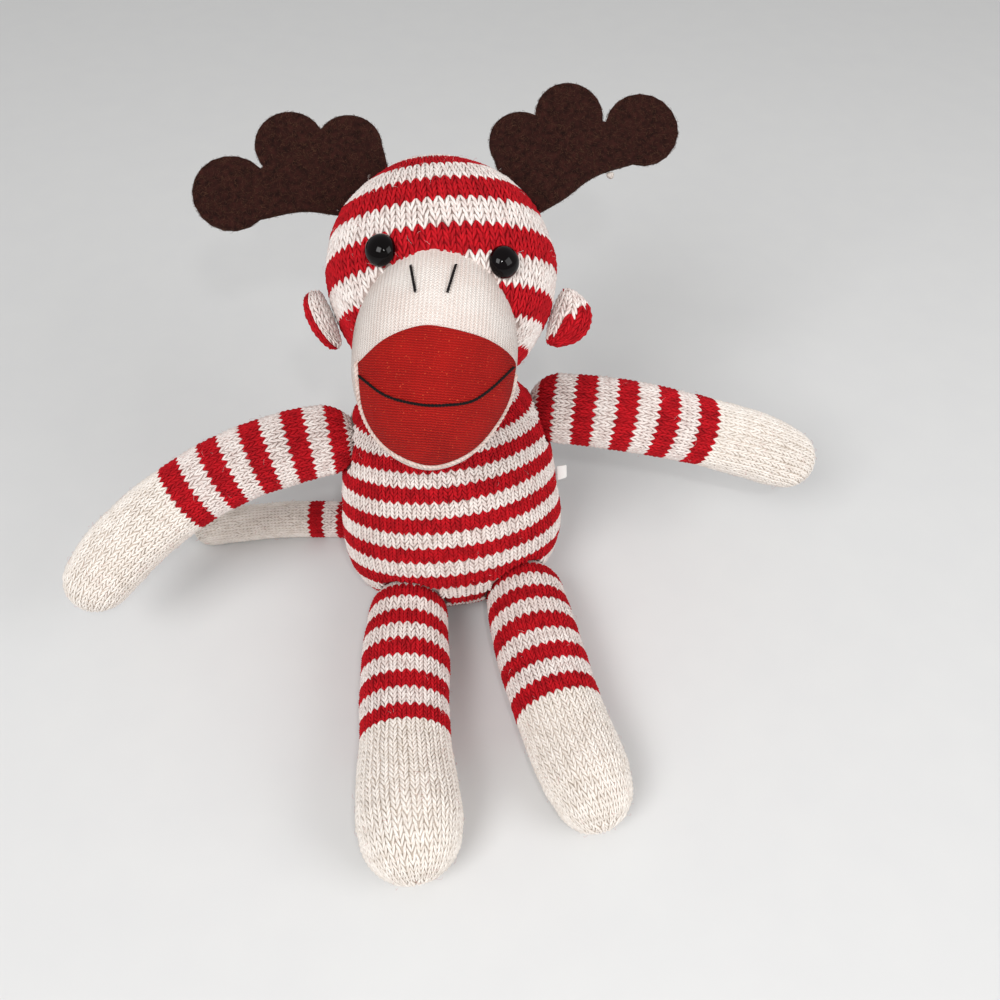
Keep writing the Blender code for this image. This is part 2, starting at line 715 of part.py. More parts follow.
def build_muzzle(head, muzzle):
    """The muzzle's cup of knit, its stuffing, the mouth patch and the stitches."""
    skull = grown_head(head, "muzzle_back", SEAM_GAP)
    skin = add_object("muzzle_skin", muzzle.ball(0), [CREAM], head.neck)
    hollow = add_cutter("muzzle_hollow", muzzle.ball(-KNIT_WALL, HOLLOW_SIDES, 10))
    cut(skin, hollow, skull)
    filling = muzzle.ball(-KNIT_WALL - SEAM_GAP, HOLLOW_SIDES, 10)
    stuffing = add_object("muzzle_stuffing", filling, ["fibre"], head.neck)
    cut(stuffing, skull)
    build_mouth(head, muzzle)


def build_mouth(head, muzzle):
    """A patch that lies on the muzzle inside the mouth's outline, and the black stitches."""
    over = SEAM_GAP + PATCH_THICKNESS
    patch = add_object("mouth_patch", muzzle.ball(over), [LIPS], head.neck)
    edge = smooth_line([*MOUTH_OUTLINE_SHARES, MOUTH_OUTLINE_SHARES[0]])[:: LINE_STEPS // 4][:-1]
    shape = bmesh.new()
    layers = []
    for depth in (0, MUZZLE_DEPTH / 2 + over + CUT_OVERRUN):
        places = [(x * muzzle.half[0], -depth, z * muzzle.half[2]) for x, z in edge]
        layers.append([shape.verts.new(muzzle.world(*place)) for place in places])
    for layer in layers:
        shape.faces.new(layer)
    for i in range(len(edge)):
        j = (i + 1) % len(edge)
        shape.faces.new([layers[0][i], layers[0][j], layers[1][j], layers[1][i]])
    outline = add_cutter("mouth_outline", shape)
    kept = patch.modifiers.new("outline", "BOOLEAN")
    kept.operation = "INTERSECT"
    kept.object = outline
    cut(patch, add_cutter("mouth_back", muzzle.ball(SEAM_GAP)))
    high = over + SEAM_GAP + THREAD_RADIUS
    smile = smooth_line(SMILE_SHARES)[:: LINE_STEPS // 4]
    tube("mouth_stitch", [muzzle.on_face(*p, high) for p in smile], THREAD_RADIUS, "black_thread")
    for side, ends in zip(("right", "left"), NOSTRIL_SHARES):
        run = smooth_line(ends)[:: LINE_STEPS // 4]
        points = [muzzle.on_face(*p, SEAM_GAP + THREAD_RADIUS) for p in run]
        tube(side + "_nostril_stitch", points, THREAD_RADIUS, "black_thread")


def build_ear(head, side, sign):
    """A half-moon lobe of two layers, folded forward about the seam that joins it to the head."""
    root, out = head.surface(sign * math.pi / 2, -EAR_BELOW[side], EAR_BASE + SEAM_GAP)
    crown = head.turn[:, 2]
    seam = crown - out * (crown @ out)
    seam /= np.linalg.norm(seam)
    front = sign * np.cross(out, seam)
    fold = EAR_FOLD[side]
    reach = out * math.cos(fold) + front * math.sin(fold)
    face = front * math.cos(fold) - out * math.sin(fold)
    for layer, way, colour in (("front", 1, WHITE), ("back", -1, RED)):
        found = []
        for share in np.linspace(-1, 1, 9):
            width = math.sqrt(1 - share**2)
            inner = root + seam * share * EAR_LENGTH / 2 + face * way * SEAM_GAP / 2
            half = (EAR_REACH * width + EAR_BASE * width) / 2
            middle = inner + reach * (EAR_REACH * width - half)
            thick = EAR_THICKNESS / 2 * math.sqrt(width)
            if abs(share) == 1:
                found.append([inner])
                continue
            found.append([
                middle - reach * half * math.cos(a) + face * way * thick * math.sin(a)
                for a in np.linspace(0, math.pi, 9)
            ])
        add_object(f"{side}_ear_{layer}", loft(found), [colour], root)


def antler_outline():
    """The antler's outline: round lobes, then the edge under them, back to the base in the head."""
    circles = [(np.array([a, b]) * ANTLER_LENGTH, r * ANTLER_LENGTH) for a, b, r in LOBE_SHARES]
    half = ANTLER_BASE_WIDTH / 2
    base = [np.array([-half, -half]), np.array([-half, half])]
    under = [np.array(p) * ANTLER_LENGTH for p in ANTLER_UNDER_SHARES]
    valleys = [crossing(first, second) for first, second in zip(circles, circles[1:])]
    outline = list(base)
    stops = [base[-1], *valleys, under[0]]
    for (centre, radius), first, last in zip(circles, stops, stops[1:]):
        a, b = (math.atan2(*(p - centre)[::-1]) for p in (first, last))
        b = b - 2 * math.pi if b > a else b
        for t in np.linspace(a, b, 9):
            outline.append(centre + radius * np.array([math.cos(t), math.sin(t)]))
    edge = smooth_line([outline[-1], *under[1:], base[0]])
    return outline + list(edge[2:-1:3])


def crossing(first, second):
    """The outer point where two circles cross."""
    (p, r), (q, s) = first, second
    gap = np.linalg.norm(q - p)
    along = (gap**2 + r**2 - s**2) / (2 * gap)
    way = (q - p) / gap
    up = np.array([-way[1], way[0]])
    return p + way * along + up * math.sqrt(max(0.0, r**2 - along**2))


def build_antler(head, side, sign):
    """Flat felt that stands on the head beside the crown, its base cut to the head's curve."""
    angle = ANTLER_ASIDE[side]
    crown = head.turn[:, 2]
    aside = head.turn[:, 0] * sign
    standoff = ANTLER_GAP + ANTLER_STANDOFF[side]
    root, _ = head.surface(sign * math.pi / 2, math.pi / 2 - angle, standoff)
    rise = ANTLER_RISE[side]
    out = aside * math.cos(rise) + crown * math.sin(rise)
    up = crown * math.cos(rise) - aside * math.sin(rise)
    shape = bmesh.new()
    back = head.turn[:, 1]
    layers = []
    for way in (-1, 1):
        layers.append([
            shape.verts.new(root + out * a + up * b + back * way * FELT_THICKNESS / 2)
            for a, b in antler_outline()
        ])
    for layer in layers:
        shape.faces.new(layer)
    count = len(layers[0])
    for i in range(count):
        j = (i + 1) % count
        shape.faces.new([layers[0][i], layers[0][j], layers[1][j], layers[1][i]])
    felt = add_object(side + "_antler", shape, ["felt_brown"], root)
    cut(felt, grown_head(head, side + "_antler_seat", ANTLER_GAP))


def main():
    torso = Torso()
    head = Head(torso.neck)
    limbs = []
    for side, around in (("left", 0.0), ("right", math.pi)):
        at, _ = torso.pivot(SHOULDER_UP_SHARE * TORSO_LENGTH, around, ARM_STANDOFF)
        names = [side + n for n in ("_arm_sleeve", "_hand", "_arm_stuffing", "_shoulder_stuffing")]
        lengths = SLEEVE_LENGTH, HAND_LENGTH[side]
        limbs.append(Limb(side + "_arm", at, ARM_RADIUS, ARM_STRIPE, LIMB_SIDES, lengths,
                          ARM_LINE[side], ARM_SWELL_SHARES, names))
        hip = -HIP_ROUND if side == "left" else math.pi + HIP_ROUND
        height = LEG_RADIUS * LEG_BALL_SHARE - FLAT_DEPTH
        at, _ = torso.pivot_over_floor(height, hip, LEG_STANDOFF)
        names = [side + n for n in ("_leg_sleeve", "_foot", "_leg_stuffing", "_hip_stuffing")]
        lengths = TROUSER_LENGTH[side], FOOT_LENGTH[side]
        limbs.append(Limb(side + "_leg", at, LEG_RADIUS, LEG_STRIPE, LIMB_SIDES, lengths,
                          LEG_LINE[side], LEG_SWELL_SHARES + FOOT_SWELL_SHARES[side], names))
    height = TAIL_RADIUS * TAIL_SWELL_SHARES[0][1] - FLAT_DEPTH
    at, _ = torso.pivot_over_floor(height, TAIL_ROUND, TAIL_STANDOFF)
    names = ("tail_sleeve", "tail_tip", "tail_stuffing", "tail_root_stuffing")
    lengths = TAIL_STRIPED_LENGTH, TAIL_TIP_LENGTH
    limbs.append(Limb("tail", at, TAIL_RADIUS, TAIL_STRIPE, TAIL_SIDES, lengths,
                      TAIL_LINE, TAIL_SWELL_SHARES, names))
    build_torso(torso, [(limb.name, limb.pivot, limb.ball) for limb in limbs])
    build_label(torso)
    for limb in limbs:
        limb.build()
    build_head(head)
    build_muzzle(head, Muzzle(head))
    for side, sign in (("left", 1), ("right", -1)):
        build_ear(head, side, sign)
        build_antler(head, side, sign)


main()
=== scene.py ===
# %% [markdown]
# # A sock monkey doll with felt antlers
# This file dresses a finished frame. The frame gives every piece its place and its joints, and
# what follows gives each piece the look of the real material: knitted yarn, felt and plastic.
# A frame like this could be dressed with colours alone. Here each fabric is made as it is in
# life, because a knit shows every stitch when it is seen from a hand's breadth away.

# %% Load the frame
import math

import bmesh
import bpy
import numpy as np
from mathutils import Matrix, Vector, noise
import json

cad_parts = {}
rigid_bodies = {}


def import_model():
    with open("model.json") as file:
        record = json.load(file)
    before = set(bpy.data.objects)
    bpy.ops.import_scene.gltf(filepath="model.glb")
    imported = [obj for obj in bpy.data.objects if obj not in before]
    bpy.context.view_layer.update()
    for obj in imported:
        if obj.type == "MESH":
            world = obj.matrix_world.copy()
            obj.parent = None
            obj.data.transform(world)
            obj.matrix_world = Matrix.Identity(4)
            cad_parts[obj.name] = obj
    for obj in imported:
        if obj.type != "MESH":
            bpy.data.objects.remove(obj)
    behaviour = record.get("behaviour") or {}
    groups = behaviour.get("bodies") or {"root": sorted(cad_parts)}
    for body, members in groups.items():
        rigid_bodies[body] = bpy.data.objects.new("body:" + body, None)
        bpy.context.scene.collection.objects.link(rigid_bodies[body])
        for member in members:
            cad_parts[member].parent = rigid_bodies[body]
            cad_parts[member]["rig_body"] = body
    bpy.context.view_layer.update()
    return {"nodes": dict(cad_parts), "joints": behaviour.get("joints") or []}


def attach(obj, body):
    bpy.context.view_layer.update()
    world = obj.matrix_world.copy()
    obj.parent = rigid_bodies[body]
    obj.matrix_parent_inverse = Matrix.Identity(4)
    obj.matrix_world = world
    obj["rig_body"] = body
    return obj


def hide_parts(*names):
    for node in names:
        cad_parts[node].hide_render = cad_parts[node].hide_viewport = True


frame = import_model()
PIVOT = {joint["name"]: np.array(joint["pos_m"]) for joint in frame["joints"]}

# %% [markdown]
# ## Small helpers
# An operator works on whatever is selected, so one helper leaves a single object selected.
# Colours are written as they look on a screen, and one function turns them into the linear
# light that the shader works in.

# %% Helpers for objects and colours
MM = 0.001
ONE_TURN, TWO_TURNS = 6.2832, 12.566


def only(obj):
    """Leaves this object selected and active, and nothing else."""
    bpy.ops.object.select_all(action="DESELECT")
    obj.select_set(True)
    bpy.context.view_layer.objects.active = obj
    return obj


def linear(code):
    """The linear colour of an sRGB hex code."""
    parts = [int(code[k : k + 2], 16) / 255 for k in (1, 3, 5)]
    return (*(p / 12.92 if p <= 0.04045 else ((p + 0.055) / 1.055) ** 2.4 for p in parts), 1)


def points_of(obj):
    """The object's points as rows of x, y and z."""
    flat = np.empty(len(obj.data.vertices) * 3)
    obj.data.vertices.foreach_get("co", flat)
    return flat.reshape(-1, 3)


def normals_of(obj):
    """The object's point normals as rows of x, y and z."""
    flat = np.empty(len(obj.data.vertices) * 3)
    obj.data.vertices.foreach_get("normal", flat)
    return flat.reshape(-1, 3)


def move_points(obj, points):
    """Puts every point of the object at a new place."""
    obj.data.vertices.foreach_set("co", np.asarray(points, float).ravel())
    obj.data.update()


def apply_all(obj):
    """Applies the object's modifiers in turn."""
    only(obj)
    for modifier in list(obj.modifiers):
        bpy.ops.object.modifier_apply(modifier=modifier.name)


def face_outward(obj):
    """Turns every face of the object outward."""
    only(obj)
    bpy.ops.object.mode_set(mode="EDIT")
    bpy.ops.mesh.select_all(action="SELECT")
    bpy.ops.mesh.normals_make_consistent(inside=False)
    bpy.ops.object.mode_set(mode="OBJECT")


def settle(obj):
    """Puts an object's turn and size into its mesh."""
    only(obj)
    bpy.ops.object.transform_apply(location=True, rotation=True, scale=True)
    return obj


# %% [markdown]
# A material is a small net of nodes. This one function adds a node, sets what it is told and
# joins its inputs, so that a net reads from top to bottom like a recipe.

# %% Helpers for materials
def add_node(tree, kind, inputs=None, **settings):
    """One shader node with its settings; an input takes a value or another node's socket."""
    made = tree.nodes.new("ShaderNode" + kind)
    for name, value in settings.items():
        setattr(made, name, value)
    for name, value in (inputs or {}).items():
        if isinstance(value, bpy.types.NodeSocket):
            tree.links.new(value, made.inputs[name])
        else:
            made.inputs[name].default_value = value
    return made


def new_material(name, **shader_values):
    """A material with its Principled shader, whose plain numbers sit on the shader itself."""
    made = bpy.data.materials.new(name)
    made.use_nodes = True
    shader = made.node_tree.nodes["Principled BSDF"]
    for socket, value in shader_values.items():
        shader.inputs[socket.replace("_", " ")].default_value = value
    return made, made.node_tree, shader


# %% [markdown]
# ## Yarn
# The stripes are acrylic yarn: two soft plies twisted together. Acrylic gives the eye a matt,
# slightly hairy surface, brighter where it is seen from the side, because stray fibres catch
# light there. The sheen does that. The twist runs along each strand, so it is drawn on the
# strand's own UV map. A ply repeats every 0.9 mm, and the fibres are drawn 0.15 mm thick,
# which is coarser than the real 0.02 mm, so that they show.

# %% Make the yarn materials
def yarn(name, light, dark, sheen=0.35):
    """Twisted two-ply yarn, whose twist is drawn on the strand's own UV map."""
    made, tree, shader = new_material(
        name, Roughness=0.86, Sheen_Weight=sheen, Sheen_Roughness=0.45, Sheen_Tint=linear(light),
        Specular_IOR_Level=0.2,
    )
    place = add_node(tree, "TexCoord")
    apart = add_node(tree, "SeparateXYZ", {"Vector": place.outputs["UV"]})
    along = add_node(
        tree, "Math", {0: apart.outputs["Y"], 1: 18.0}, operation="MULTIPLY"
    )
    around = add_node(
        tree, "Math", {0: apart.outputs["X"], 1: TWO_TURNS, 2: along.outputs[0]},
        operation="MULTIPLY_ADD",
    )
    twist = add_node(tree, "Math", {0: around.outputs[0]}, operation="SINE")
    patches = add_node(
        tree, "TexNoise",
        {"Vector": place.outputs["Object"], "Scale": 1 / (2.6 * MM), "Detail": 3.0},
    )
    fibres = add_node(
        tree, "TexNoise",
        {"Vector": place.outputs["Object"], "Scale": 1 / (0.3 * MM), "Detail": 2.0},
    )
    # The colour follows random patches, which are the yarn's own tone, and the twist, which
    # darkens the grooves between the plies as painted shade.
    tone_and_painted_shade = add_node(
        tree, "Math", {0: twist.outputs[0], 1: 0.10, 2: patches.outputs["Fac"]},
        operation="MULTIPLY_ADD",
    )
    ramp = add_node(
        tree, "MapRange",
        {"Value": tone_and_painted_shade.outputs[0], "From Min": 0.28, "From Max": 0.66},
    )
    colour = add_node(
        tree, "Mix", {"Factor": ramp.outputs[0], 6: linear(dark), 7: linear(light)},
        data_type="RGBA",
    )
    relief = add_node(
        tree, "Math", {0: twist.outputs[0], 1: 0.5, 2: fibres.outputs["Fac"]},
        operation="MULTIPLY_ADD",
    )
    bump = add_node(
        tree, "Bump", {"Height": relief.outputs[0], "Strength": 0.45, "Distance": 0.12 * MM}
    )
    tree.links.new(colour.outputs[2], shader.inputs["Base Color"])
    tree.links.new(bump.outputs["Normal"], shader.inputs["Normal"])
    return made


RED_YARN = yarn("red_acrylic_yarn", "#C41320", "#960A15")
WHITE_YARN = yarn("white_acrylic_yarn", "#F3EBE6", "#D9C8C2")
HAND_YARN = yarn("cream_white_acrylic_yarn", "#F6EFE8", "#E2D8CE")
SEAM_YARN = yarn("dull_cream_yarn_in_the_seam", "#E9D9D0", "#CDB4A9", 0.15)

# %% [markdown]
# Behind the loops lies the back of the knit, where little light reaches. A second, darker set
# of yarn colours is kept for that ground.

# %% Make the ground materials
RED_GROUND = yarn("red_yarn_in_shade", "#B00C18", "#850711", 0.1)
WHITE_GROUND = yarn("white_yarn_in_shade", "#C3B2AC", "#98867F", 0.15)
HAND_GROUND = yarn("cream_yarn_in_shade", "#D6CABF", "#B5A89B", 0.15)
print("yarns:", [m.name for m in bpy.data.materials if "yarn" in m.name])

# %% [markdown]
# ## Outlines
# Every stuffed piece here is a tube of knit: a line that runs through it, and a width at each
# place along the line. These are the same lines and widths that the frame's solids have, in
# metres. A smooth line through a few points is all that a tube needs.

# %% Helpers for outlines
def smooth_line(points, steps=16):
    """A smooth line through the points, with even steps between each pair."""
    points = np.array(points, float)
    ends = np.vstack([2 * points[0] - points[1], points, 2 * points[-1] - points[-2]])
    line = []
    for a, b, c, d in zip(ends, ends[1:], ends[2:], ends[3:]):
        for t in np.arange(steps) / steps:
            bend = (2 * a - 5 * b + 4 * c - d) * t**2 + (3 * b - a - 3 * c + d) * t**3
            line.append(b + (bend + (c - a) * t) / 2)
    return np.array(line + [points[-1]])


def arc(centre, radius, first, last):
    """Points (along, radius) round a circle on the line, from one angle to another."""
    angles = np.linspace(first, last, max(2, round(abs(last - first) / 0.026)) + 1)
    return np.column_stack([centre - radius * np.cos(angles), radius * np.sin(angles)])


def run_of(line):
    """The distance along an outline at each of its points."""
    return np.concatenate([[0], np.cumsum(np.linalg.norm(np.diff(line, axis=0), axis=1))])


def turned_by(*steps):
    """One turn made of several, each an angle in degrees and an axis."""
    turn = Matrix.Identity(3)
    for degrees, axis in steps:
        turn = turn @ Matrix.Rotation(math.radians(degrees), 3, axis)
    return np.array(turn)


# %% [markdown]
# The torso is widest at the belly and narrows to the neck. It leans back 16 degrees and is
# turned 11 degrees to its left. Its cross-section is flatter than a circle.

# %% The torso's line
GROUND_DEPTH = 0.45 * MM
TORSO_LENGTH = 0.0835
BELLY_WIDTH, BELLY_DEPTH = 0.073, 0.047
NECK_RADIUS = 0.016
TORSO_TURN = turned_by((11, "Z"), (-16, "X"))
TORSO_SEAT = PIVOT["neck_turn"] - TORSO_TURN @ np.array([0, 0, TORSO_LENGTH])
up_shares = np.array([0.0, 0.012, 0.05, 0.13, 0.24, 0.36, 0.52, 0.68, 0.78, 0.87, 0.94])
width_shares = np.array([0.0, 0.34, 0.63, 0.87, 0.98, 1.0, 0.96, 0.91, 0.86, 0.74, 0.57])
neck_arc = arc(TORSO_LENGTH, NECK_RADIUS, math.pi / 2, math.pi)
side = np.column_stack([up_shares * TORSO_LENGTH, width_shares * BELLY_WIDTH / 2])
TORSO_LINE = np.vstack([smooth_line([*side, neck_arc[0]]), neck_arc[1:]])


def torso_place(along):
    """The middle, the way across and the way back of the torso's sections."""
    along = np.asarray(along)[:, None]
    flat = np.interp(
        along, np.array([0.0, 0.3, 0.7, 0.9, 1.0]) * TORSO_LENGTH,
        [1.05, 1.0, 1.02, 1.3, BELLY_WIDTH / BELLY_DEPTH],
    )
    middle = TORSO_SEAT + along * TORSO_TURN[:, 2]
    across = np.broadcast_to(TORSO_TURN[:, 0], middle.shape)
    return middle, across, TORSO_TURN[:, 1] * flat * BELLY_DEPTH / BELLY_WIDTH


print("torso line:", len(TORSO_LINE), "points,", round(run_of(TORSO_LINE)[-1] / MM), "mm")

# %% [markdown]
# The head is a ball of knit with a muzzle sewn low on its face. The face looks up at 57 degrees
# from straight ahead. The ball was stuffed a little askew, so that its wales meet 11 degrees to
# the side of the crown and its stripes slope across the brow.

# %% The head and the muzzle
HEAD_SIZE = np.array([0.0625, 0.0610, 0.0630])
HEAD_TURN = turned_by((-57, "X"), (4, "Y"), (4.5, "Z"))
HEAD_KNIT = HEAD_TURN @ turned_by((-16, "X"))
WALES_TURN = HEAD_TURN @ turned_by((3, "X"), (-11, "Y"))
HEAD_CENTRE = PIVOT["neck_turn"] + turned_by((4, "Y"), (9, "X")) @ np.array([0, 0, 0.040])
HEAD_LINE = arc(0, HEAD_SIZE[0] / 2, 0, math.pi) * (HEAD_SIZE[2] / HEAD_SIZE[0], 1)
MUZZLE_SIZE = np.array([0.0430, 0.0480, 0.0592])
MUZZLE_CENTRE = HEAD_CENTRE + HEAD_TURN @ np.array([0, -0.0120, -0.0259])
MUZZLE_TURN = HEAD_TURN @ turned_by((14, "X"))


def head_place(along):
    """The middle, the way across and the way back of the head's sections."""
    along = np.asarray(along)[:, None]
    middle = HEAD_CENTRE + along * WALES_TURN[:, 2]
    across = np.broadcast_to(WALES_TURN[:, 0], middle.shape)
    return middle, across, np.broadcast_to(WALES_TURN[:, 1] * 0.0610 / 0.0625, middle.shape)


def out_of_ball(points, centre, turn, size, gap):
    """Moves the points that lie inside an egg shape straight out to its surface and a gap."""
    half = np.asarray(size) / 2 + gap
    local = (points - centre) @ turn
    depth = np.linalg.norm(local / half, axis=1)[:, None]
    return centre + (local / np.where(depth < 1, depth, 1)) @ turn.T


def cupped(points, forward, gap):
    """Moves the points that lie deep inside the head forward, nearly to its surface."""
    half = HEAD_SIZE / 2 + gap
    at = (points - HEAD_CENTRE) @ HEAD_KNIT / half
    way = forward @ HEAD_KNIT / half
    a, b, c = way @ way, at @ way, (at * at).sum(axis=1) - 1
    step = (-b + np.sqrt(np.maximum(b * b - a * c, 0))) / a
    return points + np.where(c < 0, step, 0)[:, None] * forward


print("head centre:", (HEAD_CENTRE / MM).round(1), "mm")

# %% [markdown]
# The arms, legs and tail are tubes on bent lines. Each begins with a ball that sits in a dish
# of the torso and ends round. The two legs and the tail lie on the floor, so their lines keep
# to the height of their own thickness.

# %% The limbs' lines
FLOOR_FLAT = 0.0005


def limb(name, joint, radius, lengths, bend, swell, stripe, wales):
    """The values of one limb; a two-value bend lies on the floor."""
    length, ball = sum(lengths), radius * swell[0][1]
    heading, last_heading, rise, last_rise = np.radians((*bend, 0, 0)[:4])
    steps = np.linspace(0, length, 65)
    share = steps / length
    flat = heading + (last_heading - heading) * share
    up = rise + (last_rise - rise) * share
    ways = np.column_stack([np.cos(flat) * np.cos(up), np.sin(flat) * np.cos(up), np.sin(up)])
    reach = np.cumsum(ways[:-1] * steps[1], axis=0)
    middle = PIVOT[joint] + np.vstack([np.zeros(3), reach])
    if len(bend) == 2:
        middle[:, 2] = radius * np.interp(share, *np.array(swell).T) - FLOOR_FLAT
        ways = np.gradient(middle, axis=0)
    tip = radius * swell[-1][1]
    body = [(s * length, radius * w) for s, w in swell[1:] if s * length < length - tip]
    start = arc(0, ball, 0, math.pi / 2)
    end = arc(length - tip, tip, math.pi / 2, math.pi)
    line = np.vstack([start[:-1], smooth_line([start[-1], *body, end[0]]), end[1:]])

    def place(along):
        """The middle, the way across and the way back of the limb's sections."""
        along = np.asarray(along)
        way = np.column_stack([np.interp(along, steps, ways[:, k]) for k in range(3)])
        way /= np.linalg.norm(way, axis=1)[:, None]
        at = np.column_stack([np.interp(along, steps, middle[:, k]) for k in range(3)])
        at += way * (np.minimum(along, 0) + np.maximum(along - length, 0))[:, None]
        across = np.cross(way, (0, 0, 1))
        across /= np.linalg.norm(across, axis=1)[:, None]
        return at, across, np.cross(across, way)

    cuff = np.interp(lengths[0], line[:, 0], run_of(line))
    return {"name": name, "line": line, "place": place, "cuff": cuff, "pivot": PIVOT[joint],
            "ball": ball, "stripe": stripe, "wales": wales, "floor": len(bend) == 2,
            "tip": (length - tip, tip)}


ARM_SWELL = ((0.0, 1.0), (0.18, 1.0), (0.5, 0.97), (0.62, 0.98), (0.8, 0.96), (1.0, 0.9))
LEG_SWELL = ((0.0, 0.94), (0.2, 1.0), (0.5, 0.97))
TAIL_SWELL = ((0.0, 0.96), (0.2, 1.0), (0.5, 0.98), (0.8, 0.97), (1.0, 0.93))
LIMBS = [
    limb("left_arm", "left_shoulder_swing", 0.0112, (0.0465, 0.0430), (-10, 10, 2, -38),
         ARM_SWELL, 0.0061, 28),
    limb("right_arm", "right_shoulder_swing", 0.0112, (0.0465, 0.0460), (195, 224, 1, -42),
         ARM_SWELL, 0.0061, 28),
    limb("left_leg", "left_hip_spread", 0.0138, (0.0430, 0.0385), (-81, -67),
         (*LEG_SWELL, (0.62, 0.96), (0.8, 0.94), (1.0, 0.86)), 0.0055, 32),
    limb("right_leg", "right_hip_spread", 0.0138, (0.0445, 0.0430), (-90, -80),
         (*LEG_SWELL, (0.62, 1.02), (0.8, 1.09), (1.0, 1.05)), 0.0055, 32),
    limb("tail", "tail_swing", 0.0066, (0.0330, 0.0420), (168, 196),
         TAIL_SWELL, 0.0052, 18),
]
print("limbs:", {part["name"]: round(run_of(part["line"])[-1] / MM) for part in LIMBS}, "mm")

# %% [markdown]
# ## The knit's ground
# A knitted tube has wales, the columns of loops that run along it, and courses, the rings of
# loops round it. The ground below is a ball from the Add menu, with one ring for each course,
# whose rings are moved out to the tube's outline. It stays a closed, even net, and each stitch
# can find its place on it by its wale and its course.

# %% Put a skin on a line
SIDES = 48
COURSES_PER_STRIPE = 4


def course_edges(line, stripe, anchor):
    """Distances along the outline where one course ends and the next begins."""
    pitch = stripe / COURSES_PER_STRIPE
    length = run_of(line)[-1]
    count = int((length - 0.3 * pitch - anchor) // pitch)
    edges = anchor + pitch * np.arange(-int((anchor - 0.3 * pitch) // pitch), count + 1)
    return np.concatenate([[0], edges, [length]])


def turn_tip_down(spot, ring, tip, place):
    """Slides the knit over a round tip, so that its courses close on the tip's underside."""
    centre, across, back = (v[0] for v in place(np.array([tip[0]])))
    way = np.cross(across, back)
    way = way if (spot[ring == ring.max()][0] - centre) @ way > 0 else -way
    moved = spot - centre
    ahead, high = moved @ way, moved @ back
    from_tip = np.arccos(np.clip(ahead / np.linalg.norm(moved, axis=1), -1, 1))
    turn = math.radians(40) * np.clip(1 - from_tip / (math.pi / 2), 0, 1)
    turn[np.linalg.norm(moved, axis=1) > 1.3 * tip[1]] = 0
    new_ahead = ahead * np.cos(turn) + high * np.sin(turn)
    new_high = high * np.cos(turn) - ahead * np.sin(turn)
    return spot + (new_ahead - ahead)[:, None] * way + (new_high - high)[:, None] * back


def add_skin(name, line, place, edges, tip=None):
    """A closed ball whose rings lie on the tube's outline, one for each course edge."""
    bpy.ops.object.select_all(action="DESELECT")
    bpy.ops.mesh.primitive_uv_sphere_add(segments=SIDES, ring_count=len(edges) - 1, radius=1)
    skin = bpy.context.object
    skin.name = name
    ball = points_of(skin)
    ring = np.rint(np.arccos(np.clip(ball[:, 2], -1, 1)) / math.pi * (len(edges) - 1)).astype(int)
    turn = np.arctan2(ball[:, 1], ball[:, 0])
    run = run_of(line)
    along = np.interp(edges, run, line[:, 0])
    wide = np.interp(edges, run, line[:, 1])
    wide = np.maximum(wide - GROUND_DEPTH, 0)
    wide[[0, -1]] = 0
    along[0] += GROUND_DEPTH
    along[-1] -= GROUND_DEPTH
    middle, across, back = place(along)
    spot = middle[ring] + wide[ring, None] * (
        np.cos(turn)[:, None] * across[ring] + np.sin(turn)[:, None] * back[ring]
    )
    if tip:
        spot = turn_tip_down(spot, ring, tip, place)
    move_points(skin, spot)
    face_outward(skin)
    column = np.rint(turn / (2 * math.pi / SIDES)).astype(int) % SIDES
    return skin, ring, column


# %% [markdown]
# ## Stuffing
# Stuffing presses a knitted skin outward everywhere but at its seams. Blender's cloth does the
# same with pressure. Gravity is off, because the stuffing carries the skin. The seams are
# pinned, and no point may move further than a small cap, so that the doll keeps its size. Where
# something is sewn on or turns in a seat, the thread pulls the knit in by half a millimetre.

# %% Stuff a skin
def pull_in(skin, pulls):
    """Draws the skin inward round each place that is sewn, full depth inside a radius."""
    for centre, radius, depth in pulls:
        spots = points_of(skin)
        past = np.linalg.norm(spots - centre, axis=1) - radius
        near = np.clip(1 - past / (6 * MM), 0, 1)
        move_points(skin, spots - normals_of(skin) * (depth * near)[:, None])


def stuff(skin, pinned, cap, pressure):
    """Blows a skin up a little between its pinned rings."""
    start = points_of(skin)
    group = skin.vertex_groups.new(name="seams")
    group.add([int(k) for k in np.flatnonzero(pinned)], 1, "REPLACE")
    cloth = skin.modifiers.new("stuffing", "CLOTH")
    settings = cloth.settings
    settings.quality = 4
    settings.mass = 0.02
    settings.tension_stiffness = settings.compression_stiffness = 8
    settings.bending_stiffness = 0.05
    settings.use_pressure = True
    settings.uniform_pressure_force = pressure
    settings.vertex_group_mass = "seams"
    settings.effector_weights.gravity = 0
    cloth.point_cache.frame_start = 1
    cloth.point_cache.frame_end = 12
    for step in range(1, 13):
        bpy.context.scene.frame_set(step)
    apply_all(skin)
    bpy.context.scene.frame_set(1)
    moved = points_of(skin) - start
    far = np.linalg.norm(moved, axis=1)[:, None]
    moved *= np.minimum(1, cap / np.maximum(far, 1e-9))
    lumps = np.array([noise.noise(Vector(p / (11 * MM))) for p in start])
    move_points(skin, start + moved + normals_of(skin) * (lumps * 0.35 * MM)[:, None])
    return float(far.max())


# %% [markdown]
# ## One stitch
# A knit stitch shows as a V: two strands that lean together. It is modelled once, at 2.5 by
# 1.4 mm. Each strand begins as a ball that is drawn long, thinned at its ends and dipped where
# it goes under the next loop. The Mirror modifier gives the second strand.

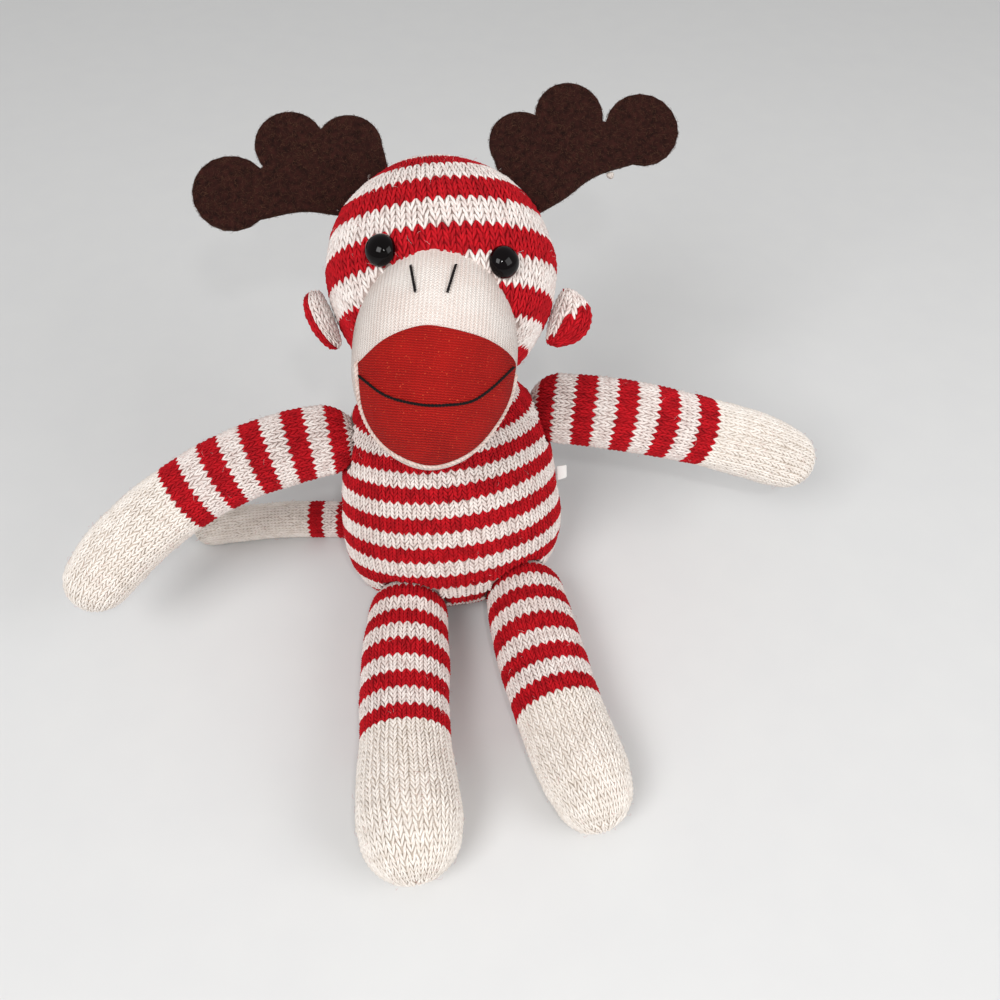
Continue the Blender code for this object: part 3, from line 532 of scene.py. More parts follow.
# %% Model one V stitch
WALE, COURSE = 2.5 * MM, 1.375 * MM
bpy.ops.object.select_all(action="DESELECT")
bpy.ops.mesh.primitive_uv_sphere_add(
    segments=5, ring_count=4, radius=1, rotation=(math.radians(90), 0, 0),
    scale=(0.38 * MM, 0.46 * MM, 1.50 * MM),
)
stitch = settle(bpy.context.object)
stitch.name = "stitch"
strand = points_of(stitch)
share = strand[:, 1] / (1.50 * MM)
strand[:, 2] += (0.30 - np.where(share < 0, 0.38, 0.62) * share**2) * MM
move_points(stitch, strand)
bpy.ops.object.mode_set(mode="EDIT")
bpy.ops.mesh.select_all(action="SELECT")
bpy.ops.transform.rotate(
    value=math.radians(25), orient_axis="Z", orient_type="GLOBAL", center_override=(0, 0, 0)
)
bpy.ops.transform.translate(value=(0.64 * MM, 0.72 * MM, 0))
bpy.ops.object.mode_set(mode="OBJECT")
lean = points_of(stitch)
if np.corrcoef(lean[:, 0], lean[:, 1])[0, 1] < 0:
    lean[:, 0] = 2 * 0.64 * MM - lean[:, 0]
    move_points(stitch, lean)
    stitch.data.flip_normals()
stitch.modifiers.new("second strand", "MIRROR").use_mirror_merge = False
apply_all(stitch)
STITCH_POINTS = points_of(stitch) / (WALE, COURSE, 1)
STITCH_FACES = [list(face.vertices) for face in stitch.data.polygons]
STITCH_UV = [tuple(corner.uv) for corner in stitch.data.uv_layers.active.data]
bpy.data.objects.remove(stitch)
print("one stitch:", len(STITCH_POINTS), "points,", len(STITCH_FACES), "faces")

# %% [markdown]
# ## Knitting
# The stitch is copied to every wale and course of a skin, and each copy is bent to the skin
# under it. Towards a tip the courses get short, so a knitter leaves out wales, and so does
# this: a ring with too little room takes half as many. Red and white courses become two
# pieces, so the colours meet in the teeth of a real stripe. No two loops are quite alike, so
# each stitch is moved by a few hundredths of its size.

# %% Knit stitches onto a skin
def even_net(skin, ring, column):
    """The skin's points as rings by columns, with four times the columns, and the normals."""
    spots = points_of(skin)
    net = np.empty((ring.max() + 1, SIDES, 3))
    for place, at, col in zip(spots, ring, column):
        if at in (0, ring.max()):
            net[at] = place
        else:
            net[at, col] = place
    waves = np.fft.rfft(net, axis=1)
    fine = np.fft.irfft(waves, n=4 * SIDES, axis=1) * 4
    around = np.roll(fine, -1, axis=1) - np.roll(fine, 1, axis=1)
    along = np.gradient(fine, axis=0)
    normal = np.cross(around, along)
    normal[0] = normal[1].mean(axis=0)
    normal[-1] = normal[-2].mean(axis=0)
    size = np.linalg.norm(normal, axis=2)[:, :, None]
    normal /= np.where(size > 0, size, 1)
    middle = fine.mean(axis=(0, 1))
    if np.sum(normal * (fine - middle)) < 0:
        normal = -normal
    return fine, normal


def read_net(net, course, around):
    """The net's value at a course number and a share of the way round."""
    low = np.clip(np.floor(course).astype(int), 0, len(net) - 2)
    up = np.clip(course - low, 0, 1)[..., None]
    turn = (around % 1) * net.shape[1]
    left = np.floor(turn).astype(int) % net.shape[1]
    right = (left + 1) % net.shape[1]
    side = (turn - np.floor(turn))[..., None]
    first = net[low, left] * (1 - side) + net[low, right] * side
    second = net[low + 1, left] * (1 - side) + net[low + 1, right] * side
    return first * (1 - up) + second * up


def knit(name, net, normal, courses, wales, material, tips_up, kept=None, floor=False):
    """One piece of V stitches over some courses of a skin's net."""
    places, sizes = [], []
    for course in courses:
        ring = (net[course] + net[min(course + 1, len(net) - 1)]) / 2
        girth = np.linalg.norm(np.diff(ring, axis=0, append=ring[:1]), axis=1).sum()
        here = wales
        while girth / here < 0.55 * WALE and here > 3:
            here = -(-here // 2)
        for wale in range(here):
            places.append((course, (wale + 0.5) / here, here))
            sizes.append(min(1.0, girth / here / WALE))
    places = np.array(places)
    sizes = np.array(sizes)
    if kept is not None:
        spots = read_net(net, places[:, 0] + 0.5, places[:, 1])
        good = kept(spots)
        places, sizes = places[good], sizes[good]
    shape = STITCH_POINTS.copy()
    if tips_up:
        shape[:, 1] = 1 - shape[:, 1]
    uneven = np.random.default_rng(len(places)).normal(0, 0.04, (len(places), 3))
    course = places[:, 0, None] + shape[None, :, 1] + uneven[:, :1]
    around = places[:, 1, None] + (shape[None, :, 0] + uneven[:, 1:2]) / places[:, 2, None]
    height = shape[None, :, 2] * (0.45 + 0.55 * sizes[:, None]) * (1 + 2 * uneven[:, 2:])
    spots = read_net(net, course, around) + read_net(normal, course, around) * height[..., None]
    spots = spots.reshape(-1, 3)
    if floor:
        spots[:, 2] = np.maximum(spots[:, 2], 0.02 * MM)
    return join_copies(name, spots, len(places), STITCH_FACES, STITCH_UV, material)


def join_copies(name, spots, count, faces, uv, material):
    """One mesh from many copies of a small shape, each already in its place."""
    each = len(spots) // max(count, 1)
    corners = np.concatenate(faces)
    lengths = np.array([len(f) for f in faces])
    mesh = bpy.data.meshes.new(name)
    mesh.vertices.add(len(spots))
    mesh.vertices.foreach_set("co", spots.ravel())
    index = (corners[None] + each * np.arange(count)[:, None]).ravel()
    mesh.loops.add(len(index))
    mesh.loops.foreach_set("vertex_index", index.astype(np.int32))
    sizes = np.tile(lengths, count)
    mesh.polygons.add(len(sizes))
    starts = np.concatenate([[0], np.cumsum(sizes)[:-1]])
    mesh.polygons.foreach_set("loop_start", starts.astype(np.int32))
    layer = mesh.uv_layers.new(name="UVMap")
    layer.data.foreach_set("uv", np.tile(np.array(uv), (count, 1)).ravel())
    mesh.update(calc_edges=True)
    solid = bmesh.new()
    solid.from_mesh(mesh)
    if solid.calc_volume(signed=True) < 0:
        mesh.flip_normals()
    solid.free()
    mesh.materials.append(material)
    mesh.shade_smooth()
    made = bpy.data.objects.new(name, mesh)
    bpy.context.scene.collection.objects.link(made)
    return made


# %% [markdown]
# ## The ground's colours and last touches
# The ground takes the colour of the course over it. It gets one step of subdivision so that it
# is smooth between the stitches. Dishes for the limbs are pressed in after that, and whatever
# would sink below the floor is laid flat on it.

# %% Finish a skin
def finish_skin(skin, ring, colours, dishes=(), floor=False):
    """Colours the ground by course, smooths it and presses its dishes and its flat."""
    for material in dict.fromkeys(colours):
        skin.data.materials.append(material)
    slots = {material.name: k for k, material in enumerate(dict.fromkeys(colours))}
    for face in skin.data.polygons:
        course = min(ring[v] for v in face.vertices)
        face.material_index = slots[colours[min(course, len(colours) - 1)].name]
    smooth = skin.modifiers.new("smooth", "SUBSURF")
    smooth.levels = smooth.render_levels = 1
    apply_all(skin)
    spots = points_of(skin)
    for centre, radius in dishes:
        spots = out_of_ball(spots, centre, np.eye(3), np.full(3, 2 * radius), 0)
    if floor:
        spots[:, 2] = np.maximum(spots[:, 2], 0.3 * MM)
    move_points(skin, spots)
    skin.data.shade_smooth()
    return skin


# %% [markdown]
# ## The torso
# The torso's knit starts with red at the seat. Five dishes are pressed into it, one for the
# ball of each limb. No stitches are knitted inside a dish, because nothing is seen there.

# %% Knit the torso
TORSO_STRIPE, TORSO_FIRST = 0.0055, 0.0033
DISHES = [(part["pivot"], part["ball"] + 0.9 * MM) for part in LIMBS]
NETS = {}


def dress(name, line, place, edges, colours, wales, body, nodes, tips_up=True,
          seams=(), cap=0.8 * MM, dishes=(), floor=False, kept=None, tip=None,
          pulls=(), pressure=25):
    """Ground, stuffing and stitches of one tube, each riding on its body."""
    skin, ring, column = add_skin(name + "_ground", line, place, edges, tip)
    pinned = (ring == 0) | (ring == ring.max())
    for seam in seams:
        pinned |= ring == int(np.abs(edges - seam).argmin())
    far = stuff(skin, pinned, cap, pressure)
    pull_in(skin, pulls)
    net, normal = NETS[name] = even_net(skin, ring, column)
    finish_skin(skin, ring, [ground for _, ground in colours], dishes, floor)
    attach(skin, body)
    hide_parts(*nodes)
    for yarn_used in dict.fromkeys(yarn_here for yarn_here, _ in colours):
        courses = [k for k, (mine, _) in enumerate(colours) if mine is yarn_used]
        label = f"{name}_{yarn_used.name.split('_')[0]}_courses"
        piece = knit(label, net, normal, courses, wales, yarn_used, tips_up, kept, floor)
        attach(piece, body)
        print(label, len(piece.data.polygons), "faces")
    print(name, "stuffing moved the knit by up to", round(far / MM, 2), "mm")
    return net, normal


edges = course_edges(TORSO_LINE, TORSO_STRIPE, TORSO_FIRST)
middles = (edges[1:] + edges[:-1]) / 2
striped = np.ceil((middles - TORSO_FIRST) / TORSO_STRIPE).astype(int) % 2
colours = [(RED_YARN, RED_GROUND) if s == 0 else (WHITE_YARN, WHITE_GROUND) for s in striped]


def outside_dishes(spots):
    """Where the torso carries stitches: nowhere that a limb's ball covers."""
    clear = np.ones(len(spots), bool)
    for centre, radius in DISHES:
        clear &= np.linalg.norm(spots - centre, axis=1) > radius + 0.5 * MM
    return clear


dress("torso", TORSO_LINE, torso_place, edges, colours, 72, "torso",
      ["torso_skin"], seams=[run_of(TORSO_LINE)[-1] - 0.025], dishes=DISHES, floor=True,
      kept=outside_dishes, pulls=[(PIVOT["neck_turn"], NECK_RADIUS + 3 * MM, 0.35 * MM)])

# %% [markdown]
# ## The head
# The head's stripes are wider than the torso's, because the stuffing stretches the knit there.
# A hollow under it takes the ball of the neck, and the stitches under the muzzle are left out.

# %% Knit the head
HEAD_STRIPE, HEAD_FIRST = 0.0075, 0.0002
length = run_of(HEAD_LINE)[-1]
edges = course_edges(HEAD_LINE, HEAD_STRIPE, (length - HEAD_FIRST) % HEAD_STRIPE)
middles = length - (edges[1:] + edges[:-1]) / 2
striped = (1 + np.ceil((middles - HEAD_FIRST) / HEAD_STRIPE).astype(int)) % 2
colours = [(RED_YARN, RED_GROUND) if s == 0 else (WHITE_YARN, WHITE_GROUND) for s in striped]
NECK_SOCKET = (PIVOT["neck_turn"], NECK_RADIUS + 1.0 * MM)


def outside_muzzle(spots):
    """Where the head carries stitches: not under the muzzle nor over the neck's ball."""
    local = (spots - MUZZLE_CENTRE) @ MUZZLE_TURN / (MUZZLE_SIZE / 2 - 0.3 * MM)
    neck = np.linalg.norm(spots - NECK_SOCKET[0], axis=1) > NECK_SOCKET[1]
    return (np.linalg.norm(local, axis=1) > 1) & neck


sewn_on = [(PIVOT["neck_turn"], NECK_RADIUS + 5 * MM, 0.5 * MM)]
sewn_on += [(PIVOT[name + "_antler_flex"], 9 * MM, 0.5 * MM) for name in ("left", "right")]
sewn_on += [(PIVOT[name + "_ear_fold"], 8 * MM, 0.4 * MM) for name in ("left", "right")]
dress("head", HEAD_LINE, head_place, edges, colours, 66, "head",
      ["head_skin"], dishes=[NECK_SOCKET], kept=outside_muzzle, pulls=sewn_on, pressure=200)

# %% [markdown]
# ## Arms, legs and tail
# Each limb is striped to its cuff, with red next to the cuff, and white from there to its tip.
# The stitches point the other way here, because a limb is knitted from its tip up.

# %% Knit the limbs
LIMB_NODES = {
    "left_arm": ("left_arm_sleeve", "left_hand"), "right_arm": ("right_arm_sleeve", "right_hand"),
    "left_leg": ("left_leg_sleeve", "left_foot"), "right_leg": ("right_leg_sleeve", "right_foot"),
    "tail": ("tail_sleeve", "tail_tip"),
}
for part in LIMBS:
    pitch = part["stripe"] / COURSES_PER_STRIPE
    edges = course_edges(part["line"], part["stripe"], part["cuff"] % pitch + pitch)
    middles = (edges[1:] + edges[:-1]) / 2
    before = part["cuff"] - middles
    colours = []
    for distance in before:
        if distance < 0:
            colours.append((HAND_YARN, HAND_GROUND))
        elif int(distance // part["stripe"]) % 2 == 0:
            colours.append((RED_YARN, RED_GROUND))
        else:
            colours.append((WHITE_YARN, WHITE_GROUND))
    dress(part["name"], part["line"], part["place"], edges, colours, part["wales"],
          part["name"], LIMB_NODES[part["name"]], tips_up=False,
          seams=[part["ball"] * math.pi / 2, part["cuff"]], floor=part["floor"],
          tip=part["tip"], pressure=2500)

# %% [markdown]
# ## The muzzle's fine knit
# The muzzle is a cup of fine cream jersey. Its stitches are under a millimetre, too small to
# model one by one, so they are drawn in relief on a UV map that is measured in millimetres:
# wales 1.1 mm apart and courses 0.85 mm.

# %% Make the fine knit material
def fine_knit(name, light, dark, wale, course, v_depth, strength, rib_share=0.5, sheen=0.2,
              blotch=0.6, painted_glint_colour=None):
    """Fine jersey, whose wales and courses are drawn in relief on a UV map in metres."""
    made, tree, shader = new_material(
        name, Roughness=0.85, Sheen_Weight=sheen, Sheen_Roughness=0.5, Sheen_Tint=linear(light),
        Specular_IOR_Level=0.2,
    )
    place = add_node(tree, "TexCoord")
    apart = add_node(tree, "SeparateXYZ", {"Vector": place.outputs["UV"]})
    across = add_node(tree, "Math", {0: apart.outputs["X"], 1: 1 / wale}, operation="MULTIPLY")
    part = add_node(tree, "Math", {0: across.outputs[0]}, operation="FRACT")
    fold = add_node(tree, "Math", {0: part.outputs[0], 1: 0.5}, operation="SUBTRACT")
    fold = add_node(tree, "Math", {0: fold.outputs[0]}, operation="ABSOLUTE")
    up = add_node(tree, "Math", {0: apart.outputs["Y"], 1: 1 / course}, operation="MULTIPLY")
    drift = add_node(
        tree, "TexNoise", {"Vector": place.outputs["Object"], "Scale": 1 / (4 * MM), "Detail": 2.0}
    )
    up = add_node(
        tree, "Math", {0: drift.outputs["Fac"], 1: 0.9, 2: up.outputs[0]}, operation="MULTIPLY_ADD"
    )
    lean = add_node(
        tree, "Math", {0: fold.outputs[0], 1: v_depth, 2: up.outputs[0]}, operation="MULTIPLY_ADD"
    )
    wave = add_node(tree, "Math", {0: lean.outputs[0], 1: ONE_TURN}, operation="MULTIPLY")
    wave = add_node(tree, "Math", {0: wave.outputs[0]}, operation="SINE")
    rib = add_node(tree, "Math", {0: fold.outputs[0], 1: ONE_TURN}, operation="MULTIPLY")
    rib = add_node(tree, "Math", {0: rib.outputs[0]}, operation="COSINE")
    weave = add_node(
        tree, "Math", {0: rib.outputs[0], 1: -rib_share, 2: wave.outputs[0]},
        operation="MULTIPLY_ADD",
    )
    hairs = add_node(
        tree, "TexNoise",
        {"Vector": place.outputs["Object"], "Scale": 1 / (0.35 * MM), "Detail": 3.0},
    )
    patches = add_node(
        tree, "TexNoise",
        {"Vector": place.outputs["Object"], "Scale": 1 / (9 * MM), "Detail": 4.0},
    )
    height = add_node(
        tree, "Math", {0: hairs.outputs["Fac"], 1: 0.9, 2: weave.outputs[0]},
        operation="MULTIPLY_ADD",
    )
    clouds = add_node(
        tree, "Math", {0: patches.outputs["Fac"], 1: blotch}, operation="MULTIPLY"
    )
    # The colour follows random clouds, which are the jersey's own tone, and the weave, which
    # darkens the gaps between the stitches as painted shade.
    tone_and_painted_shade = add_node(
        tree, "Math", {0: weave.outputs[0], 1: 0.10, 2: clouds.outputs[0]},
        operation="MULTIPLY_ADD",
    )
    ramp = add_node(
        tree, "MapRange",
        {"Value": tone_and_painted_shade.outputs[0], "From Min": blotch / 2 - 0.17, "From Max": blotch / 2 + 0.13},
    )
    colour = add_node(
        tree, "Mix", {"Factor": ramp.outputs[0], 6: linear(dark), 7: linear(light)},
        data_type="RGBA",
    ).outputs[2]
    # Paler specks are mixed into the colour as painted glints, as if light caught on shiny fibres.
    if painted_glint_colour:
        specks = add_node(
            tree, "TexNoise",
            {"Vector": place.outputs["Object"], "Scale": 1 / (0.38 * MM), "Detail": 0.0},
        )
        glint = add_node(
            tree, "MapRange",
            {"Value": specks.outputs["Fac"], "From Min": 0.73, "From Max": 0.85},
        )
        colour = add_node(
            tree, "Mix", {"Factor": glint.outputs[0], 6: colour, 7: linear(painted_glint_colour)},
            data_type="RGBA",
        ).outputs[2]
    bump = add_node(
        tree, "Bump",
        {"Height": height.outputs[0], "Strength": strength, "Distance": 0.2 * MM},
    )
    tree.links.new(colour, shader.inputs["Base Color"])
    tree.links.new(bump.outputs["Normal"], shader.inputs["Normal"])
    return made


# The muzzle's jersey is cream. The slight pink in both its tones is painted reflection of light
# from a pink surround.
CREAM_JERSEY = fine_knit(
    "cream_jersey_knit", "#FCF3EC", "#EAD7CD", 1.1 * MM, 0.85 * MM, 1.3, 0.75, rib_share=0.85
)
# The mouth's jersey has painted glints: pale orange specks in its colour.
RED_JERSEY = fine_knit(
    "orange_red_jersey_knit", "#B0160F", "#760906", 0.9 * MM, 0.6 * MM, 0.4, 0.6,
    rib_share=0.1, sheen=0.0, blotch=0.25, painted_glint_colour="#CC4A2C",
)

# %% [markdown]
# The muzzle is an egg from the Add menu with its poles at its sides. It is cupped over the
# head: what would lie deep inside the head is moved forward to just under the head's knit.

# %% Model the muzzle
bpy.ops.object.select_all(action="DESELECT")
bpy.ops.mesh.primitive_uv_sphere_add(
    segments=96, ring_count=64, radius=1, rotation=(0, math.pi / 2, 0)
)
muzzle = settle(bpy.context.object)
muzzle.name = "muzzle_jersey"
ball = points_of(muzzle)
MUZZLE_GROUND = MUZZLE_SIZE / 2 - 0.2 * MM
lumps = np.array([noise.noise(Vector(p * 2.4)) for p in ball])[:, None]
spots = MUZZLE_CENTRE + (ball * (MUZZLE_GROUND + lumps * 0.35 * MM)) @ MUZZLE_TURN.T
spots = cupped(spots, MUZZLE_TURN @ (0, -1, 0), -1.0 * MM)
spots = out_of_ball(spots, *NECK_SOCKET[:1], np.eye(3), np.full(3, 2 * NECK_SOCKET[1]), 0)
move_points(muzzle, spots)
layer = muzzle.data.uv_layers.active.data
for corner, vertex in zip(layer, (loop.vertex_index for loop in muzzle.data.loops)):
    x, y, z = ball[vertex]
    corner.uv = math.asin(max(-1, min(1, x))) * MUZZLE_SIZE[0] / 2, \
        math.atan2(z, -y) * MUZZLE_SIZE[2] / 2
muzzle.data.materials.append(CREAM_JERSEY)
muzzle.data.shade_smooth()
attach(muzzle, "head")
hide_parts("muzzle_skin")
print("muzzle:", len(muzzle.data.polygons), "faces")


def on_muzzle(aside, above, out):
    """The place over the muzzle's front at shares of its half width and half height."""
    half = MUZZLE_SIZE / 2 + out
    forward = math.sqrt(max(0.0, 1 - aside**2 - above**2))
    deeper = (1, half[1] * 2 / MUZZLE_SIZE[1], 1)
    at = np.array([aside, -forward, above]) * MUZZLE_SIZE / 2 * deeper
    return MUZZLE_TURN @ (at / np.linalg.norm(at / half)) + MUZZLE_CENTRE


# %% [markdown]
# ## The mouth
# The mouth is a patch of finer, orange-red jersey, cut to a rounded shield and sewn flat on the
# muzzle. A filled circle is drawn out to the shield, inset ring by ring so that it can follow
# the muzzle's curve, and given its thickness by Solidify.

# %% Model the mouth patch
MOUTH_OUTLINE = (
    (-0.83, -0.12), (-0.55, 0.08), (-0.20, 0.20), (0.10, 0.21), (0.57, 0.15), (0.87, 0.03),
    (0.91, -0.10), (0.84, -0.38), (0.56, -0.71), (0.18, -0.88), (-0.14, -0.88), (-0.50, -0.75),
    (-0.74, -0.50),
)
PATCH_THICKNESS = 0.8 * MM
rim = smooth_line([*MOUTH_OUTLINE, MOUTH_OUTLINE[0]], 8)[:-1]
heart = rim.mean(axis=0)
bpy.ops.object.select_all(action="DESELECT")
bpy.ops.mesh.primitive_circle_add(vertices=len(rim), radius=1, fill_type="TRIFAN")
patch = bpy.context.object
patch.name = "mouth_patch_jersey"
flat = points_of(patch)
hub = int(np.linalg.norm(flat, axis=1).argmin())
ringed = [k for k in range(len(flat)) if k != hub]
ringed.sort(key=lambda k: math.atan2(flat[k, 1], flat[k, 0]))
rim = rim[np.argsort(np.arctan2(rim[:, 1] - heart[1], rim[:, 0] - heart[0]))]
flat[ringed] = np.column_stack([rim, np.zeros(len(rim))])
flat[hub] = (*heart, 0)
move_points(patch, flat)
only(patch)
bpy.ops.object.mode_set(mode="EDIT")
bpy.ops.mesh.select_all(action="SELECT")
bpy.ops.mesh.subdivide(number_cuts=7)
bpy.ops.object.mode_set(mode="OBJECT")
flat = points_of(patch)
layer = patch.data.uv_layers.active.data
for corner, vertex in zip(layer, (loop.vertex_index for loop in patch.data.loops)):
    x, z, _ = flat[vertex]
    corner.uv = math.asin(max(-1, min(1, x))) * MUZZLE_SIZE[0] / 2, z * MUZZLE_SIZE[2] / 2
move_points(patch, [on_muzzle(x, z, 0.3 * MM + PATCH_THICKNESS) for x, z, _ in flat])
face_outward(patch)
facing = np.array([f.normal for f in patch.data.polygons]).mean(axis=0)
if facing @ (MUZZLE_TURN @ (0, -1, 0)) < 0:
    patch.data.flip_normals()
wall = patch.modifiers.new("cloth", "SOLIDIFY")
wall.thickness, wall.offset = PATCH_THICKNESS, -1
edge = patch.modifiers.new("edge", "BEVEL")
edge.width, edge.segments, edge.limit_method = 0.3 * MM, 2, "ANGLE"
apply_all(patch)
patch.data.materials.append(RED_JERSEY)
patch.data.shade_smooth()
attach(patch, "head")
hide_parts("mouth_patch")
print("mouth patch:", len(patch.data.polygons), "faces")

# %% [markdown]
# ## Threads and the rolled seam
# A sewing thread is two plies twisted together. One helper winds the plies round a path on the
# muzzle as curves and makes them a mesh. It draws the smile, the two nostrils and, thicker and
# in cream, the seam that rolls round the lower edge of the mouth.

# %% Helper for twisted cords
BLACK_THREAD, tree, shader = new_material(
    "black_cotton_thread", Roughness=0.8, Sheen_Weight=0.03, Specular_IOR_Level=0.15
)
place = add_node(tree, "TexCoord")
lint = add_node(
    tree, "TexNoise", {"Vector": place.outputs["Object"], "Scale": 1 / (0.25 * MM), "Detail": 2.0}
)
colour = add_node(
    tree, "Mix", {"Factor": lint.outputs["Fac"], 6: linear("#060505"), 7: linear("#1C1516")},
    data_type="RGBA",
)
tree.links.new(colour.outputs[2], shader.inputs["Base Color"])


def twisted(name, path, ways, radius, turn_every, material, replaced=(), body="head"):
    """Two plies wound round a path, as one closed mesh."""
    path, ways = np.array(path), np.array(ways)
    run = run_of(path)
    dense = np.linspace(0, run[-1], max(12, int(run[-1] / turn_every * 8)))
    spine = np.column_stack([np.interp(dense, run, path[:, k]) for k in range(3)])
    out = np.column_stack([np.interp(dense, run, ways[:, k]) for k in range(3)])
    forward = np.gradient(spine, axis=0)
    forward /= np.linalg.norm(forward, axis=1)[:, None]
    side = np.cross(out, forward)
    data = bpy.data.curves.new(name, "CURVE")
    data.dimensions = "3D"
    data.bevel_depth, data.bevel_resolution, data.use_fill_caps = radius * 0.6, 2, True
    for ply in (0, math.pi):
        angle = dense / turn_every * 2 * math.pi + ply
        wound = spine + radius * 0.45 * (
            np.cos(angle)[:, None] * side + np.sin(angle)[:, None] * out
        )
        line = data.splines.new("POLY")
        line.points.add(len(wound) - 1)
        for spot, at in zip(line.points, wound):
            spot.co = (*at, 1)
    made = bpy.data.objects.new(name, data)
    bpy.context.scene.collection.objects.link(made)
    only(made)
    bpy.ops.object.convert(target="MESH")
    made = bpy.context.object
    made.data.materials.append(material)
    made.data.shade_smooth()
    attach(made, body)
    if replaced:
        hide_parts(*replaced)
    return made


def muzzle_path(shares, out):
    """A path over the muzzle and the way straight out at each of its points."""
    path = [on_muzzle(x, z, out) for x, z in shares]
    away = [on_muzzle(x, z, out + 1 * MM) for x, z in shares]
    return path, (np.array(away) - path) / MM


# %% [markdown]
# The smile lies across the patch and the nostrils above it, each on a path that was read off
# the doll's own face. The paths are shares of the muzzle's half width and half height, so a
# bigger muzzle would carry them along.

# %% Sew the smile and the nostrils
SMILE = (
    (-0.80, -0.22), (-0.49, -0.36), (-0.13, -0.41), (0.15, -0.40), (0.44, -0.35), (0.65, -0.23),
    (0.88, -0.04),
)
NOSTRILS = {
    "right": ((-0.34, 0.69), (-0.26, 0.47)),
    "left": ((0.16, 0.73), (0.09, 0.49)),
}
path, ways = muzzle_path(smooth_line(SMILE, 8), PATCH_THICKNESS + 0.5 * MM)
twisted("smile_thread", path, ways, 0.36 * MM, 1.7 * MM, BLACK_THREAD,
        ["mouth_stitch"])
for name, ends in NOSTRILS.items():
    path, ways = muzzle_path(smooth_line(ends, 8), 0.35 * MM)
    twisted(name + "_nostril_thread", path, ways, 0.36 * MM, 1.6 * MM, BLACK_THREAD,
            [name + "_nostril_stitch"])
lower = smooth_line([MOUTH_OUTLINE[k] for k in (0, 12, 11, 10, 9, 8, 7, 6)], 8)
middle = np.array([0.03, -0.3])
path, ways = muzzle_path(middle + (lower - middle) * 1.04, 0.25 * MM)
twisted("mouth_seam_roll", path, ways, 0.85 * MM, 2.4 * MM, SEAM_YARN)
print("threads sewn")

# %% [markdown]
# ## Eyes and washers
# A safety eye is a domed button of glossy black plastic on a plain post. A washer behind the
# knit holds it. The dome starts as a ball that is cut in half and flattened, with a small
# rolled rim. Polished acrylic reflects like glass, so its roughness is near nothing.

# %% Model the eyes
EYE_BLACK, tree, shader = new_material(
    "black_acrylic_plastic", Roughness=0.05, IOR=1.46, Specular_IOR_Level=0.2
)
place = add_node(tree, "TexCoord")
haze = add_node(
    tree, "TexNoise", {"Vector": place.outputs["Object"], "Scale": 1 / (4 * MM), "Detail": 3.0}
)
colour = add_node(
    tree, "Mix", {"Factor": haze.outputs["Fac"], 6: linear("#020101"), 7: linear("#0B0506")},
    data_type="RGBA",
)
tree.links.new(colour.outputs[2], shader.inputs["Base Color"])
EYE_RADIUS, EYE_HEIGHT = 0.0041, 0.0034


def head_surface(aside, above, out):
    """A place on the head at an angle to the side and above the face, and the way out."""
    way = np.array([
        math.sin(aside) * math.cos(above), -math.cos(aside) * math.cos(above), math.sin(above)
    ])
    way = HEAD_KNIT.T @ HEAD_TURN @ way
    at = way / np.linalg.norm(way / (HEAD_SIZE / 2))
    normal = at / (HEAD_SIZE / 2) ** 2
    normal /= np.linalg.norm(normal)
    return HEAD_CENTRE + HEAD_KNIT @ (at + out * normal), HEAD_KNIT @ normal


for name, sign in (("left", 1), ("right", -1)):
    root, out = head_surface(sign * math.radians(29.5), math.radians(-8.5), 0.0003)
    turn = Vector(out).to_track_quat("Z", "Y").to_matrix().to_4x4()
    bpy.ops.object.select_all(action="DESELECT")
    bpy.ops.mesh.primitive_uv_sphere_add(segments=48, ring_count=24, radius=EYE_RADIUS)
    eye = bpy.context.object
    eye.name = name + "_eye_button"
    bpy.ops.object.mode_set(mode="EDIT")
    bpy.ops.mesh.select_all(action="SELECT")
    bpy.ops.mesh.bisect(
        plane_co=(0, 0, 0), plane_no=(0, 0, 1), use_fill=True, clear_inner=True
    )
    bpy.ops.mesh.select_all(action="DESELECT")
    bpy.ops.object.mode_set(mode="OBJECT")
    for face in eye.data.polygons:
        face.select = face.normal.z < -0.9
    bpy.ops.object.mode_set(mode="EDIT")
    bpy.ops.mesh.select_mode(type="FACE")
    bpy.ops.mesh.extrude_region_move(TRANSFORM_OT_translate={"value": (0, 0, -0.25 * MM)})
    bpy.ops.mesh.inset(thickness=EYE_RADIUS - 1.2 * MM)
    bpy.ops.mesh.extrude_region_move(TRANSFORM_OT_translate={"value": (0, 0, -6.2 * MM)})
    bpy.ops.object.mode_set(mode="OBJECT")
    spots = points_of(eye)
    dome = spots[:, 2] > 0
    spots[dome, 2] *= EYE_HEIGHT / EYE_RADIUS
    move_points(eye, spots)
    rim = eye.modifiers.new("rim", "BEVEL")
    rim.width, rim.segments, rim.limit_method = 0.2 * MM, 3, "ANGLE"
    apply_all(eye)
    eye.data.transform(Matrix.Translation(Vector(root)) @ turn)
    eye.data.materials.append(EYE_BLACK)
    only(eye)
    bpy.ops.object.shade_smooth_by_angle(angle=math.radians(35))
    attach(eye, "head")
    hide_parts(name + "_eye")
print("eyes:", len(eye.data.polygons), "faces each")

# %% [markdown]
# ## Ears
# Each ear is a half-moon lobe with a white front and a red back, knitted like the head. Its
# skin is the same closed net, laid from end to end of the seam that joins it to the head.

